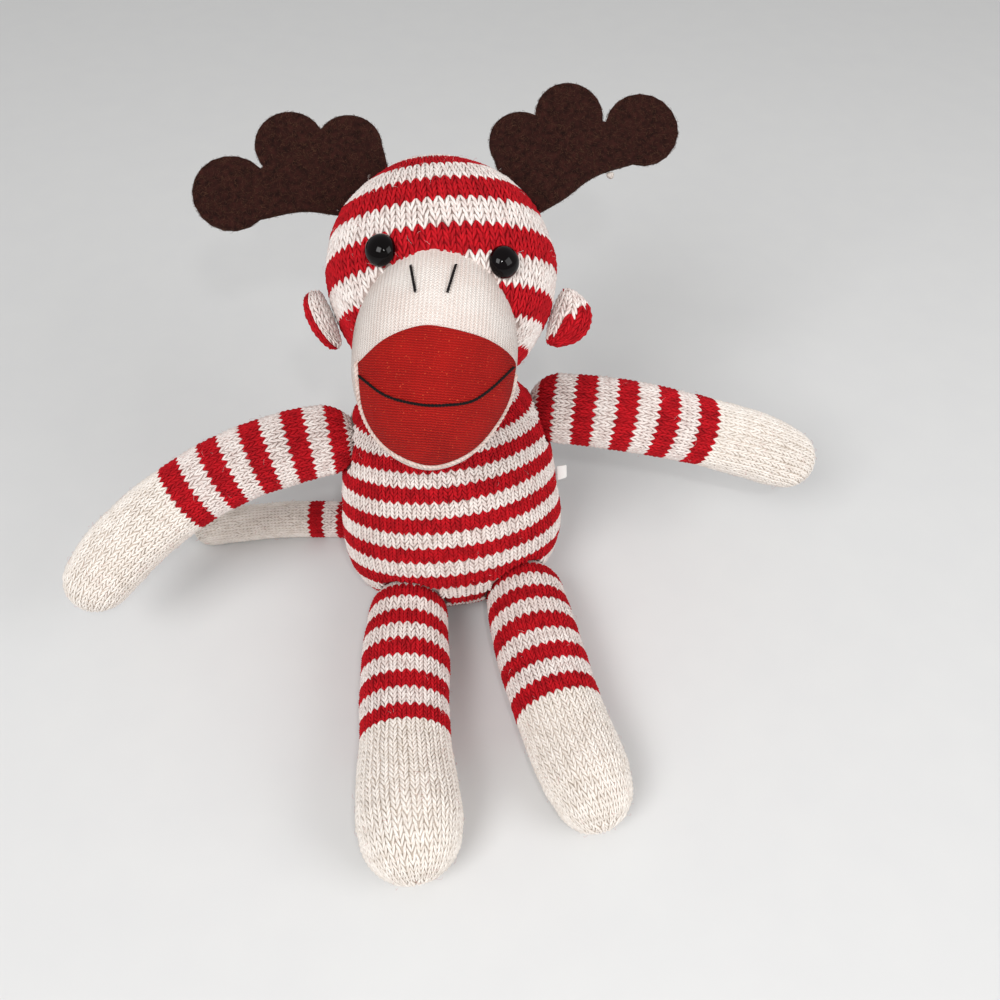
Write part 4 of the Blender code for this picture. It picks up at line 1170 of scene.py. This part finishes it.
# %% Knit the ears
EAR_LENGTH, EAR_REACH, EAR_THICKNESS, EAR_BASE = 0.0170, 0.0095, 0.0058, 0.0019
EAR_SIDES = {"left": (1, 14, 14, 1.2), "right": (-1, 27, 70, 9.0)}
for name, (sign, below, fold, white_to) in EAR_SIDES.items():
    root, out = head_surface(sign * math.pi / 2, -math.radians(below), EAR_BASE + 0.0003)
    crown = HEAD_TURN[:, 2]
    seam = crown - out * (crown @ out)
    seam /= np.linalg.norm(seam)
    front = sign * np.cross(out, seam)
    fold = math.radians(fold)
    reach = out * math.cos(fold) + front * math.sin(fold)
    face = front * math.cos(fold) - out * math.sin(fold)
    shares = np.cos(np.linspace(math.pi, 0, 15))
    bpy.ops.object.select_all(action="DESELECT")
    bpy.ops.mesh.primitive_uv_sphere_add(segments=SIDES, ring_count=14, radius=1)
    ear = bpy.context.object
    ear.name = name + "_ear_lobe"
    ball = points_of(ear)
    ring = np.rint(np.arccos(np.clip(ball[:, 2], -1, 1)) / math.pi * 14).astype(int)
    turn = np.arctan2(ball[:, 1], ball[:, 0])
    column = np.rint(turn / (2 * math.pi / SIDES)).astype(int) % SIDES
    width = np.sqrt(np.maximum(0, 1 - shares**2))[ring]
    half = (EAR_REACH + EAR_BASE) / 2 * width - GROUND_DEPTH * width
    deep = (EAR_THICKNESS / 2 - GROUND_DEPTH) * np.sqrt(width)
    lobe = (
        root + shares[ring, None] * seam * (EAR_LENGTH / 2 - GROUND_DEPTH)
        + reach * (width * (EAR_REACH - EAR_BASE) / 2 + half * np.cos(turn))[:, None]
        + face * (deep * np.sin(turn))[:, None]
    )
    move_points(ear, lobe)
    face_outward(ear)
    net, normal = even_net(ear, ring, column)
    ear.data.materials.append(WHITE_GROUND)
    ear.data.materials.append(RED_GROUND)
    middle = net.mean(axis=(0, 1))
    slant = 0.88 * reach - 0.47 * seam

    def is_front(spots):
        """Where the white front lies; its lower outer corner is left red, where the real ear is
        turned under red side out.
        """
        local = spots - middle
        return (local @ face > 0.3 * MM) & (local @ slant < white_to * MM)

    front_faces = is_front(np.array([polygon.center for polygon in ear.data.polygons]))
    for polygon, white in zip(ear.data.polygons, front_faces):
        polygon.material_index = 0 if white else 1
    ear.data.shade_smooth()
    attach(ear, name + "_ear")
    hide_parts(name + "_ear_front", name + "_ear_back")
    for label, yarn_used, slot in (
        ("front", WHITE_YARN, "white_knit"), ("back", RED_YARN, "red_knit")
    ):
        piece = knit(f"{name}_ear_{label}_stitches", net, normal, range(14), 10, yarn_used, True,
                     lambda spots, label=label: is_front(spots) == (label == "front"))
        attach(piece, name + "_ear")
print("ears knitted")

# %% [markdown]
# ## Felt
# The antlers are cut from brown wool felt about 2 mm thick. Felt is fibre pressed together with
# no threads, so it gives the eye a soft, even depth with paler hairs lying on it in every
# direction. The colour clouds are 1.5 mm wide, and the hairs on it are modelled.

# %% Make the felt materials
BROWN_FELT, tree, shader = new_material(
    "brown_wool_felt", Roughness=0.95, Sheen_Weight=0.2, Sheen_Roughness=0.6,
    Sheen_Tint=linear("#7A5542"), Specular_IOR_Level=0.1,
)
place = add_node(tree, "TexCoord")
clouds = add_node(
    tree, "TexNoise", {"Vector": place.outputs["Object"], "Scale": 1 / (1.5 * MM), "Detail": 6.0}
)
spread = add_node(
    tree, "MapRange", {"Value": clouds.outputs["Fac"], "From Min": 0.3, "From Max": 0.72}
)
colour = add_node(
    tree, "Mix", {"Factor": spread.outputs[0], 6: linear("#190A09"), 7: linear("#371B17")},
    data_type="RGBA",
)
nap = add_node(
    tree, "TexNoise", {"Vector": place.outputs["Object"], "Scale": 1 / (0.45 * MM), "Detail": 5.0}
)
bump = add_node(
    tree, "Bump", {"Height": nap.outputs["Fac"], "Strength": 0.9, "Distance": 0.3 * MM}
)
tree.links.new(colour.outputs[2], shader.inputs["Base Color"])
tree.links.new(bump.outputs["Normal"], shader.inputs["Normal"])
FELT_HAIR, tree, shader = new_material("pale_wool_fibre", Roughness=0.8, Specular_IOR_Level=0.2)
place = add_node(tree, "TexCoord")
mixed = add_node(
    tree, "TexNoise", {"Vector": place.outputs["Object"], "Scale": 1 / (2.0 * MM), "Detail": 2.0}
)
colour = add_node(
    tree, "Mix", {"Factor": mixed.outputs["Fac"], 6: linear("#271512"), 7: linear("#704C38")},
    data_type="RGBA",
)
tree.links.new(colour.outputs[2], shader.inputs["Base Color"])

# %% [markdown]
# A hair is a thin rod of three bent lengths, too small to need more faces. It is copied over a
# surface at random places. A fixed seed keeps these the same on each run, as long as two things
# hold: the surface's triangles come in the same order, and a hair that is left out changes no
# other. So all draws are made before any hair is left out. The hair lies along the surface,
# rises a little in its middle and curls to one side.

# %% Helper that lays hairs on a piece
HAIR_FACES = [[0, 2, 1], [9, 10, 11]]
for k in range(3):
    HAIR_FACES += [
        [3 * k + a, 3 * k + b, 3 * k + 3 + b, 3 * k + 3 + a] for a, b in ((0, 1), (1, 2), (2, 0))
    ]
rng = np.random.default_rng(7)


def corners_of(piece):
    """A piece's triangles, each as its three corner points."""
    piece.data.calc_loop_triangles()
    return points_of(piece)[[tuple(t.vertices) for t in piece.data.loop_triangles]]


def net_corners(net, normal):
    """A knitted tube's net as triangles that face outward, in the order of its rings."""
    beside = np.roll(net, -1, axis=1)
    halves = ((net[:-1], beside[:-1], beside[1:]), (net[:-1], beside[1:], net[1:]))
    corners = np.concatenate([np.stack(half, axis=2).reshape(-1, 3, 3) for half in halves])
    facing = np.cross(corners[:, 1] - corners[:, 0], corners[:, 2] - corners[:, 0])
    outward = np.concatenate([normal[:-1].reshape(-1, 3)] * 2)
    return corners if np.sum(facing * outward) > 0 else corners[:, ::-1]


def lay_hairs(name, corners, count, lengths, lifts, thick, material, kept):
    """Many short curved hairs on a surface's triangles, as one mesh."""
    facing = np.cross(corners[:, 1] - corners[:, 0], corners[:, 2] - corners[:, 0])
    areas = np.linalg.norm(facing, axis=1) / 2
    picks = rng.choice(len(corners), count, p=areas / areas.sum())
    mix = rng.dirichlet((1, 1, 1), count)
    heading = rng.normal(size=(count, 3))
    long = rng.uniform(*lengths, count)[:, None] * MM
    lift = rng.uniform(*lifts, count)[:, None] * MM
    curl = rng.normal(0, 0.25, count)[:, None] * long
    at = (corners[picks] * mix[:, :, None]).sum(axis=1)
    n = facing[picks] / (2 * areas[picks][:, None])
    good = kept(at)
    at, n, heading, long, lift, curl = (v[good] for v in (at, n, heading, long, lift, curl))
    count = int(good.sum())
    lying = np.cross(n, heading)
    lying /= np.linalg.norm(lying, axis=1)[:, None]
    side = np.cross(n, lying)
    rows = []
    for step, height in ((0, 0.0), (0.35, 0.75), (0.7, 1.0), (1, 0.8)):
        spine = at + lying * long * (step - 0.5) + side * curl * step**2 + n * lift * height
        for a, b in ((1, 0), (-0.5, 0.87), (-0.5, -0.87)):
            rows.append(spine + thick * (side * a + n * b))
    spots = np.stack(rows, axis=1).reshape(-1, 3)
    spots[:, 2] = np.maximum(spots[:, 2], 0.02 * MM)
    uv = [(0, 0)] * sum(len(face) for face in HAIR_FACES)
    return join_copies(name, spots, count, HAIR_FACES, uv, material)


# %% [markdown]
# An antler's outline is three round lobes in a row and a scooped edge below. The felt starts as
# a filled circle that is drawn out to that outline, gets its thickness by Solidify and a soft
# edge by Bevel. A Boolean with an egg the size of the head trims its root to the head's curve.

# %% Cut the antlers
ANTLER_LENGTH, ANTLER_BASE, FELT_THICKNESS = 0.0465, 0.0150, 0.0021
LOBES = ((0.085, 0.27, 0.195), (0.43, 0.28, 0.205), (0.775, -0.01, 0.225))
UNDER = ((0.60, -0.185), (0.36, -0.125), (0.12, -0.155))
ANTLERS = {"left": (1, 39, 35, 0.0045), "right": (-1, 45, -7, 0.0)}


def crossing(first, second):
    """The outer point where two circles cross."""
    (p, r), (q, s) = first, second
    gap = np.linalg.norm(q - p)
    along = (gap**2 + r**2 - s**2) / (2 * gap)
    way = (q - p) / gap
    return p + way * along + np.array([-way[1], way[0]]) * math.sqrt(max(0.0, r**2 - along**2))


circles = [(np.array([a, b]) * ANTLER_LENGTH, r * ANTLER_LENGTH) for a, b, r in LOBES]
half = ANTLER_BASE / 2
under = [np.array(p) * ANTLER_LENGTH for p in UNDER]
crossings = [crossing(*pair) for pair in zip(circles, circles[1:])]
stops = [np.array([-half, circles[0][0][1]]), *crossings, under[0]]
inner = circles[0][0][0] - circles[0][1]
outline = [
    np.array([-half + (half + inner) * t**2, -half + (circles[0][0][1] + half) * t])
    for t in np.linspace(0, 0.9, 7)
]
for (centre, radius), first, last in zip(circles, stops, stops[1:]):
    a, b = (math.atan2(*(p - centre)[::-1]) for p in (first, last))
    b = b - 2 * math.pi if b > a else b
    outline += [
        centre + radius * np.array([math.cos(t), math.sin(t)]) for t in np.linspace(a, b, 15)
    ]
outline += list(smooth_line([outline[-1], *under[1:], outline[0]], 8)[1:-1])
outline = np.array(outline)
print("antler outline:", len(outline), "points")

# %% [markdown]
# Both antlers are cut to one outline and sewn to the crown at their own angles. The sheet is
# waved by a third of a millimetre, because cut felt never lies quite flat. Its cut edge is
# rounded a little, and then the hairs are laid over both faces and the edge.

# %% Build each antler and lay hairs on it
antler_root, antler_ways = {}, {}


def clear_of_head(spots):
    """Where the felt is far enough from the head to carry hairs when it flexes."""
    local = (spots - HEAD_CENTRE) @ HEAD_KNIT / (HEAD_SIZE / 2 + 2.6 * MM)
    return np.linalg.norm(local, axis=1) > 1


for name, (sign, aside, rise, standoff) in ANTLERS.items():
    above = math.pi / 2 - math.radians(aside)
    root, _ = head_surface(sign * math.pi / 2, above, 0.0009 + standoff)
    rise = math.radians(rise)
    crown, away, back = HEAD_TURN[:, 2], HEAD_TURN[:, 0] * sign, HEAD_TURN[:, 1]
    out = away * math.cos(rise) + crown * math.sin(rise)
    up = crown * math.cos(rise) - away * math.sin(rise)
    antler_root[name], antler_ways[name] = root, np.column_stack([out, up])
    bpy.ops.object.select_all(action="DESELECT")
    bpy.ops.mesh.primitive_circle_add(vertices=len(outline), radius=1, fill_type="NGON")
    felt = bpy.context.object
    felt.name = name + "_antler_felt"
    move_points(felt, np.column_stack([outline, np.zeros(len(outline))]))
    bpy.ops.object.mode_set(mode="EDIT")
    bpy.ops.mesh.select_all(action="SELECT")
    bpy.ops.mesh.inset(thickness=0.7 * MM)
    bpy.ops.mesh.quads_convert_to_tris()
    bpy.ops.mesh.subdivide(number_cuts=1)
    bpy.ops.object.mode_set(mode="OBJECT")
    flat = points_of(felt)
    wave = np.array([noise.noise(Vector(p / (14 * MM))) for p in flat]) * 0.35 * MM
    move_points(felt, root + flat[:, :1] * out + flat[:, 1:2] * up + wave[:, None] * back)
    wall = felt.modifiers.new("felt", "SOLIDIFY")
    wall.thickness, wall.offset = FELT_THICKNESS - 0.2 * MM, 0
    edge = felt.modifiers.new("cut edge", "BEVEL")
    edge.width, edge.segments, edge.limit_method = 0.45 * MM, 2, "ANGLE"
    edge.angle_limit = math.radians(50)
    apply_all(felt)
    face_outward(felt)
    bpy.ops.object.select_all(action="DESELECT")
    bpy.ops.mesh.primitive_uv_sphere_add(segments=96, ring_count=48, radius=1)
    skull = bpy.context.object
    skull.matrix_world = Matrix.Translation(Vector(HEAD_CENTRE)) @ (
        Matrix(HEAD_KNIT.tolist()).to_4x4() @ Matrix.Diagonal((*(HEAD_SIZE / 2 + 0.9 * MM), 1))
    )
    settle(skull)
    seat = felt.modifiers.new("seat", "BOOLEAN")
    seat.operation, seat.object, seat.solver = "DIFFERENCE", skull, "EXACT"
    apply_all(felt)
    bpy.data.objects.remove(skull)
    felt.data.materials.append(BROWN_FELT)
    only(felt)
    bpy.ops.object.shade_smooth_by_angle(angle=math.radians(40))
    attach(felt, name + "_antler")
    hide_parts(name + "_antler")
    hairs = lay_hairs(name + "_antler_hairs", corners_of(felt), 5200, (0.4, 1.3), (0.08, 0.45),
                      0.035 * MM, FELT_HAIR, clear_of_head)
    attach(hairs, name + "_antler")
print("antlers:", len(felt.data.polygons), "faces and", len(hairs.data.polygons), "of hairs")

# %% [markdown]
# A small bead of clear glue has set under the left antler's edge, where it was stuck down. It
# starts as a ball and is pulled out of round. Set glue is pale, waxy and lets some light in.

# %% Model the bead of glue
GLUE, tree, shader = new_material(
    "set_clear_glue", Roughness=0.35, IOR=1.48, Subsurface_Weight=0.3,
    Subsurface_Radius=(0.001, 0.001, 0.001),
)
place = add_node(tree, "TexCoord")
cloud = add_node(
    tree, "TexNoise", {"Vector": place.outputs["Object"], "Scale": 1 / (0.8 * MM), "Detail": 2.0}
)
colour = add_node(
    tree, "Mix", {"Factor": cloud.outputs["Fac"], 6: linear("#A79C94"), 7: linear("#DAD3CB")},
    data_type="RGBA",
)
tree.links.new(colour.outputs[2], shader.inputs["Base Color"])
bpy.ops.object.select_all(action="DESELECT")
bpy.ops.mesh.primitive_ico_sphere_add(subdivisions=3, radius=1)
bead = bpy.context.object
bead.name = "glue_bead"
ball = points_of(bead)
swell = np.array([1 + 0.35 * noise.noise(Vector(p * 1.7)) for p in ball])[:, None]
GLUE_SPOT = antler_root["left"] + antler_ways["left"] @ np.array([0.455, -0.165]) * ANTLER_LENGTH
move_points(bead, GLUE_SPOT + ball * swell * (1.1 * MM, 0.9 * MM, 0.9 * MM))
bead.data.materials.append(GLUE)
bead.data.shade_smooth()
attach(bead, "left_antler")

# %% [markdown]
# ## Stray fibres
# Acrylic yarn sheds: a few loose fibres stand out from every knitted piece, and they show most
# against the background. Each is drawn 0.04 mm thick, a little coarser than life, and stays
# within 1.7 mm of the knit. The fibres are laid on the knit's net, whose points have a fixed
# order, because the order of the finished ground's faces differs from one run to the next.

# %% Lay stray fibres on the knit
STRAY_WHITE = yarn("loose_white_fibre", "#F3EBE6", "#E4D8D2", 0.1)
STRAY_RED = yarn("loose_red_fibre", "#C9303A", "#A81824", 0.1)
JOINT_ZONES = [(part["pivot"], part["ball"] + 4.5 * MM) for part in LIMBS]
JOINT_ZONES += [(PIVOT["neck_turn"], NECK_RADIUS + 9 * MM)]
JOINT_ZONES += [(PIVOT[name], 12 * MM) for name in PIVOT if "antler" in name or "ear" in name]


def clear_of_joints(spots):
    """Where fibres are laid: nowhere that two bodies rub."""
    clear = outside_muzzle(spots)
    for centre, radius in JOINT_ZONES:
        clear &= np.linalg.norm(spots - centre, axis=1) > radius
    return clear


STRAYS = {"torso": 500, "head": 500, "tail": 120}
STRAYS.update({part["name"]: 260 for part in LIMBS[:4]})
for name, count in STRAYS.items():
    for material in (STRAY_WHITE, STRAY_RED):
        label = f"{name}_{material.name.split('_')[1]}_strays"
        strays = lay_hairs(label, net_corners(*NETS[name]), count // 2, (1.0, 2.6),
                           (0.7, 1.7), 0.02 * MM, material, clear_of_joints)
        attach(strays, name)
print("stray fibres:", sum(STRAYS.values()))

# %% [markdown]
# ## The side label
# A folded strip of white satin tape is caught in the side seam. It is left bare. It starts as a
# block, which is stretched to the strip, divided and bent a little, with a soft fold at its end.

# %% Model the label
LABEL_TAPE, tree, shader = new_material(
    "white_satin_tape", Roughness=0.45, Sheen_Weight=0.2, Specular_IOR_Level=0.4
)
place = add_node(tree, "TexCoord")
threads = add_node(
    tree, "TexWave",
    {"Vector": place.outputs["Object"], "Scale": 1 / (0.9 * MM), "Distortion": 0.6},
    bands_direction="Z",
)
# The thread bands set both the relief and the colour, so the hollows between threads are painted
# darker: painted shade.
colour = add_node(
    tree, "Mix", {"Factor": threads.outputs["Fac"], 6: linear("#E9E6E2"), 7: linear("#F7F5F2")},
    data_type="RGBA",
)
bump = add_node(
    tree, "Bump", {"Height": threads.outputs["Fac"], "Strength": 0.25, "Distance": 0.05 * MM}
)
tree.links.new(colour.outputs[2], shader.inputs["Base Color"])
tree.links.new(bump.outputs["Normal"], shader.inputs["Normal"])
corners = points_of(frame["nodes"]["side_label"])
label_middle = corners.mean(axis=0)
label_out = TORSO_TURN[:, 0]
label_up = TORSO_TURN[:, 2]
bpy.ops.object.select_all(action="DESELECT")
bpy.ops.mesh.primitive_cube_add(size=1)
label = bpy.context.object
label.name = "side_label_tape"
bpy.ops.object.mode_set(mode="EDIT")
bpy.ops.mesh.select_all(action="SELECT")
bpy.ops.mesh.subdivide(number_cuts=5)
bpy.ops.object.mode_set(mode="OBJECT")
spots = points_of(label)
tip = np.clip(spots[:, 0] + 0.5, 0, 1)
thin = np.where(np.abs(spots[:, 0]) < 0.45, 0.55, 0.5) * (1 - 0.35 * tip**4)
places = (
    label_middle + np.outer(spots[:, 0] * 3.4 * MM, label_out)
    + np.outer(spots[:, 1] * thin * 0.9 * MM + (tip**2) * 0.5 * MM, TORSO_TURN[:, 1])
    + np.outer(spots[:, 2] * 5.4 * MM * (1 - 0.12 * tip), label_up)
)
move_points(label, places)
soften = label.modifiers.new("soften", "SUBSURF")
soften.levels = soften.render_levels = 1
apply_all(label)
label.data.materials.append(LABEL_TAPE)
label.data.shade_smooth()
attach(label, "torso")
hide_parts("side_label")
print("label:", len(label.data.polygons), "faces")

# %% [markdown]
# ## Stuffing and washers
# Inside every skin is a wad of polyester fibre, the white down that fills most soft toys. Each
# wad is a copy of the frame's solid, remeshed to an even net and roughened like down, a little
# smaller than its skin. The washers are moulded polypropylene, slightly waxy.

# %% Fluff the stuffing
FIBRE, tree, shader = new_material(
    "polyester_fibre_fill", Roughness=1.0, Sheen_Weight=0.6, Sheen_Roughness=0.7,
    Subsurface_Weight=0.1,
)
place = add_node(tree, "TexCoord")
down = add_node(
    tree, "TexNoise", {"Vector": place.outputs["Object"], "Scale": 1 / (1.2 * MM), "Detail": 6.0}
)
# The same noise sets the relief and the colour, so the hollows of the down are painted darker:
# painted shade.
colour = add_node(
    tree, "Mix", {"Factor": down.outputs["Fac"], 6: linear("#D9D9D6"), 7: linear("#F4F4F2")},
    data_type="RGBA",
)
bump = add_node(
    tree, "Bump", {"Height": down.outputs["Fac"], "Strength": 0.9, "Distance": 0.4 * MM}
)
tree.links.new(colour.outputs[2], shader.inputs["Base Color"])
tree.links.new(bump.outputs["Normal"], shader.inputs["Normal"])
for name, node in frame["nodes"].items():
    if not name.endswith("_stuffing"):
        continue
    wad = node.copy()
    wad.data = node.data.copy()
    for key in list(wad.keys()):
        del wad[key]
    wad.parent = None
    bpy.context.scene.collection.objects.link(wad)
    wad.name = name.replace("_stuffing", "_fibre_wad")
    only(wad)
    bpy.ops.object.mode_set(mode="EDIT")
    bpy.ops.mesh.select_all(action="SELECT")
    bpy.ops.mesh.remove_doubles(threshold=0.000001)
    bpy.ops.object.mode_set(mode="OBJECT")
    net = wad.modifiers.new("net", "REMESH")
    net.mode, net.voxel_size = "VOXEL", 1.6 * MM
    apply_all(wad)
    spots = points_of(wad)
    rough = np.array([abs(noise.noise(Vector(p / (3 * MM)))) for p in spots])
    move_points(wad, spots - normals_of(wad) * (rough * 0.6 * MM + 0.25 * MM)[:, None])
    wad.data.materials.clear()
    wad.data.materials.append(FIBRE)
    wad.data.shade_smooth()
    body = node["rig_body"]
    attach(wad, body)
    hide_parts(name)

# %% [markdown]
# A washer is pressed onto each eye's post from inside. Moulded polypropylene is milky and a
# little waxy, with faint clouds where it flowed. The washers are the frame's own solids: they
# have hard edges already, so that only their plastic is wanted.

# %% Give the washers their plastic
WASHER, tree, shader = new_material("moulded_polypropylene", Roughness=0.42, IOR=1.49)
place = add_node(tree, "TexCoord")
flow = add_node(
    tree, "TexNoise", {"Vector": place.outputs["Object"], "Scale": 1 / (1.5 * MM), "Detail": 2.0}
)
colour = add_node(
    tree, "Mix", {"Factor": flow.outputs["Fac"], 6: linear("#D8D8D4"), 7: linear("#EDEDEA")},
    data_type="RGBA",
)
tree.links.new(colour.outputs[2], shader.inputs["Base Color"])
for name in ("left_eye_washer", "right_eye_washer"):
    washer = frame["nodes"][name]
    for k in range(len(washer.material_slots)):
        washer.material_slots[k].material = WASHER

# %% [markdown]
# ## Floor, light and camera
# The doll sits on a plain pale floor, one flat plane. Two broad lamps and a pale sky
# light it evenly, and a small lamp by the camera gives the eyes their glint. The camera looks
# down at 49 degrees from a hand's length above the head, as the photograph was taken.

# %% Lay the floor
FLOOR, tree, shader = new_material("pale_paper_backdrop", Roughness=0.9)
place = add_node(tree, "TexCoord")
grain = add_node(
    tree, "TexNoise", {"Vector": place.outputs["Object"], "Scale": 60.0, "Detail": 2.0}
)
colour = add_node(
    tree, "Mix", {"Factor": grain.outputs["Fac"], 6: linear("#DADADA"), 7: linear("#DEDEDD")},
    data_type="RGBA",
)
tree.links.new(colour.outputs[2], shader.inputs["Base Color"])
bpy.ops.object.select_all(action="DESELECT")
bpy.ops.mesh.primitive_plane_add(size=6, location=(0, 0, 0))
floor = settle(bpy.context.object)
floor.name = "floor"
floor.data.materials.append(FLOOR)

# %% [markdown]
# The lamps are large squares, so that shadows stay soft. The camera's lens is as wide as its
# sensor, which gives the steep view of a telephone held above the doll.

# %% Light it and place the camera
sky = bpy.data.worlds.new("studio")
bpy.context.scene.world = sky
sky.use_nodes = True
sky.node_tree.nodes["Background"].inputs["Color"].default_value = (1, 1, 1, 1)
sky.node_tree.nodes["Background"].inputs["Strength"].default_value = 0.45
LAMPS = {
    "key": ((-0.45, -0.75, 0.95), 0.55, 8.3),
    "fill": ((0.75, -0.45, 0.60), 0.60, 4.0),
    "glint": ((0.06, -0.30, 0.42), 0.02, 0.3),
}
for name, (spot, size, power) in LAMPS.items():
    data = bpy.data.lights.new(name, "AREA")
    data.shape, data.size, data.energy = "SQUARE", size, power
    lamp = bpy.data.objects.new(name, data)
    bpy.context.scene.collection.objects.link(lamp)
    lamp.location = spot
    lamp.rotation_euler = (Vector((0, 0, 0.07)) - Vector(spot)).to_track_quat("-Z", "Y").to_euler()
CAMERA_SPOT, LOOK_DOWN = (0.016, -0.2178, 0.28635), 48.9
data = bpy.data.cameras.new("camera")
data.lens, data.sensor_width, data.clip_start = 36, 36, 0.01
camera = bpy.data.objects.new("camera", data)
bpy.context.scene.collection.objects.link(camera)
camera.location = CAMERA_SPOT
camera.rotation_euler = (math.radians(90 - LOOK_DOWN), 0, 0)
bpy.context.scene.camera = camera
bpy.context.scene.view_settings.view_transform = "Standard"

# %% [markdown]
# The last cell counts the faces of the pieces that are shown.

# %% Measure and finish
import json

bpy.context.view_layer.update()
shown = [o for o in bpy.data.objects if o.type == "MESH" and not o.hide_render]
count = sum(len(o.data.polygons) for o in shown)
print("faces shown:", count)
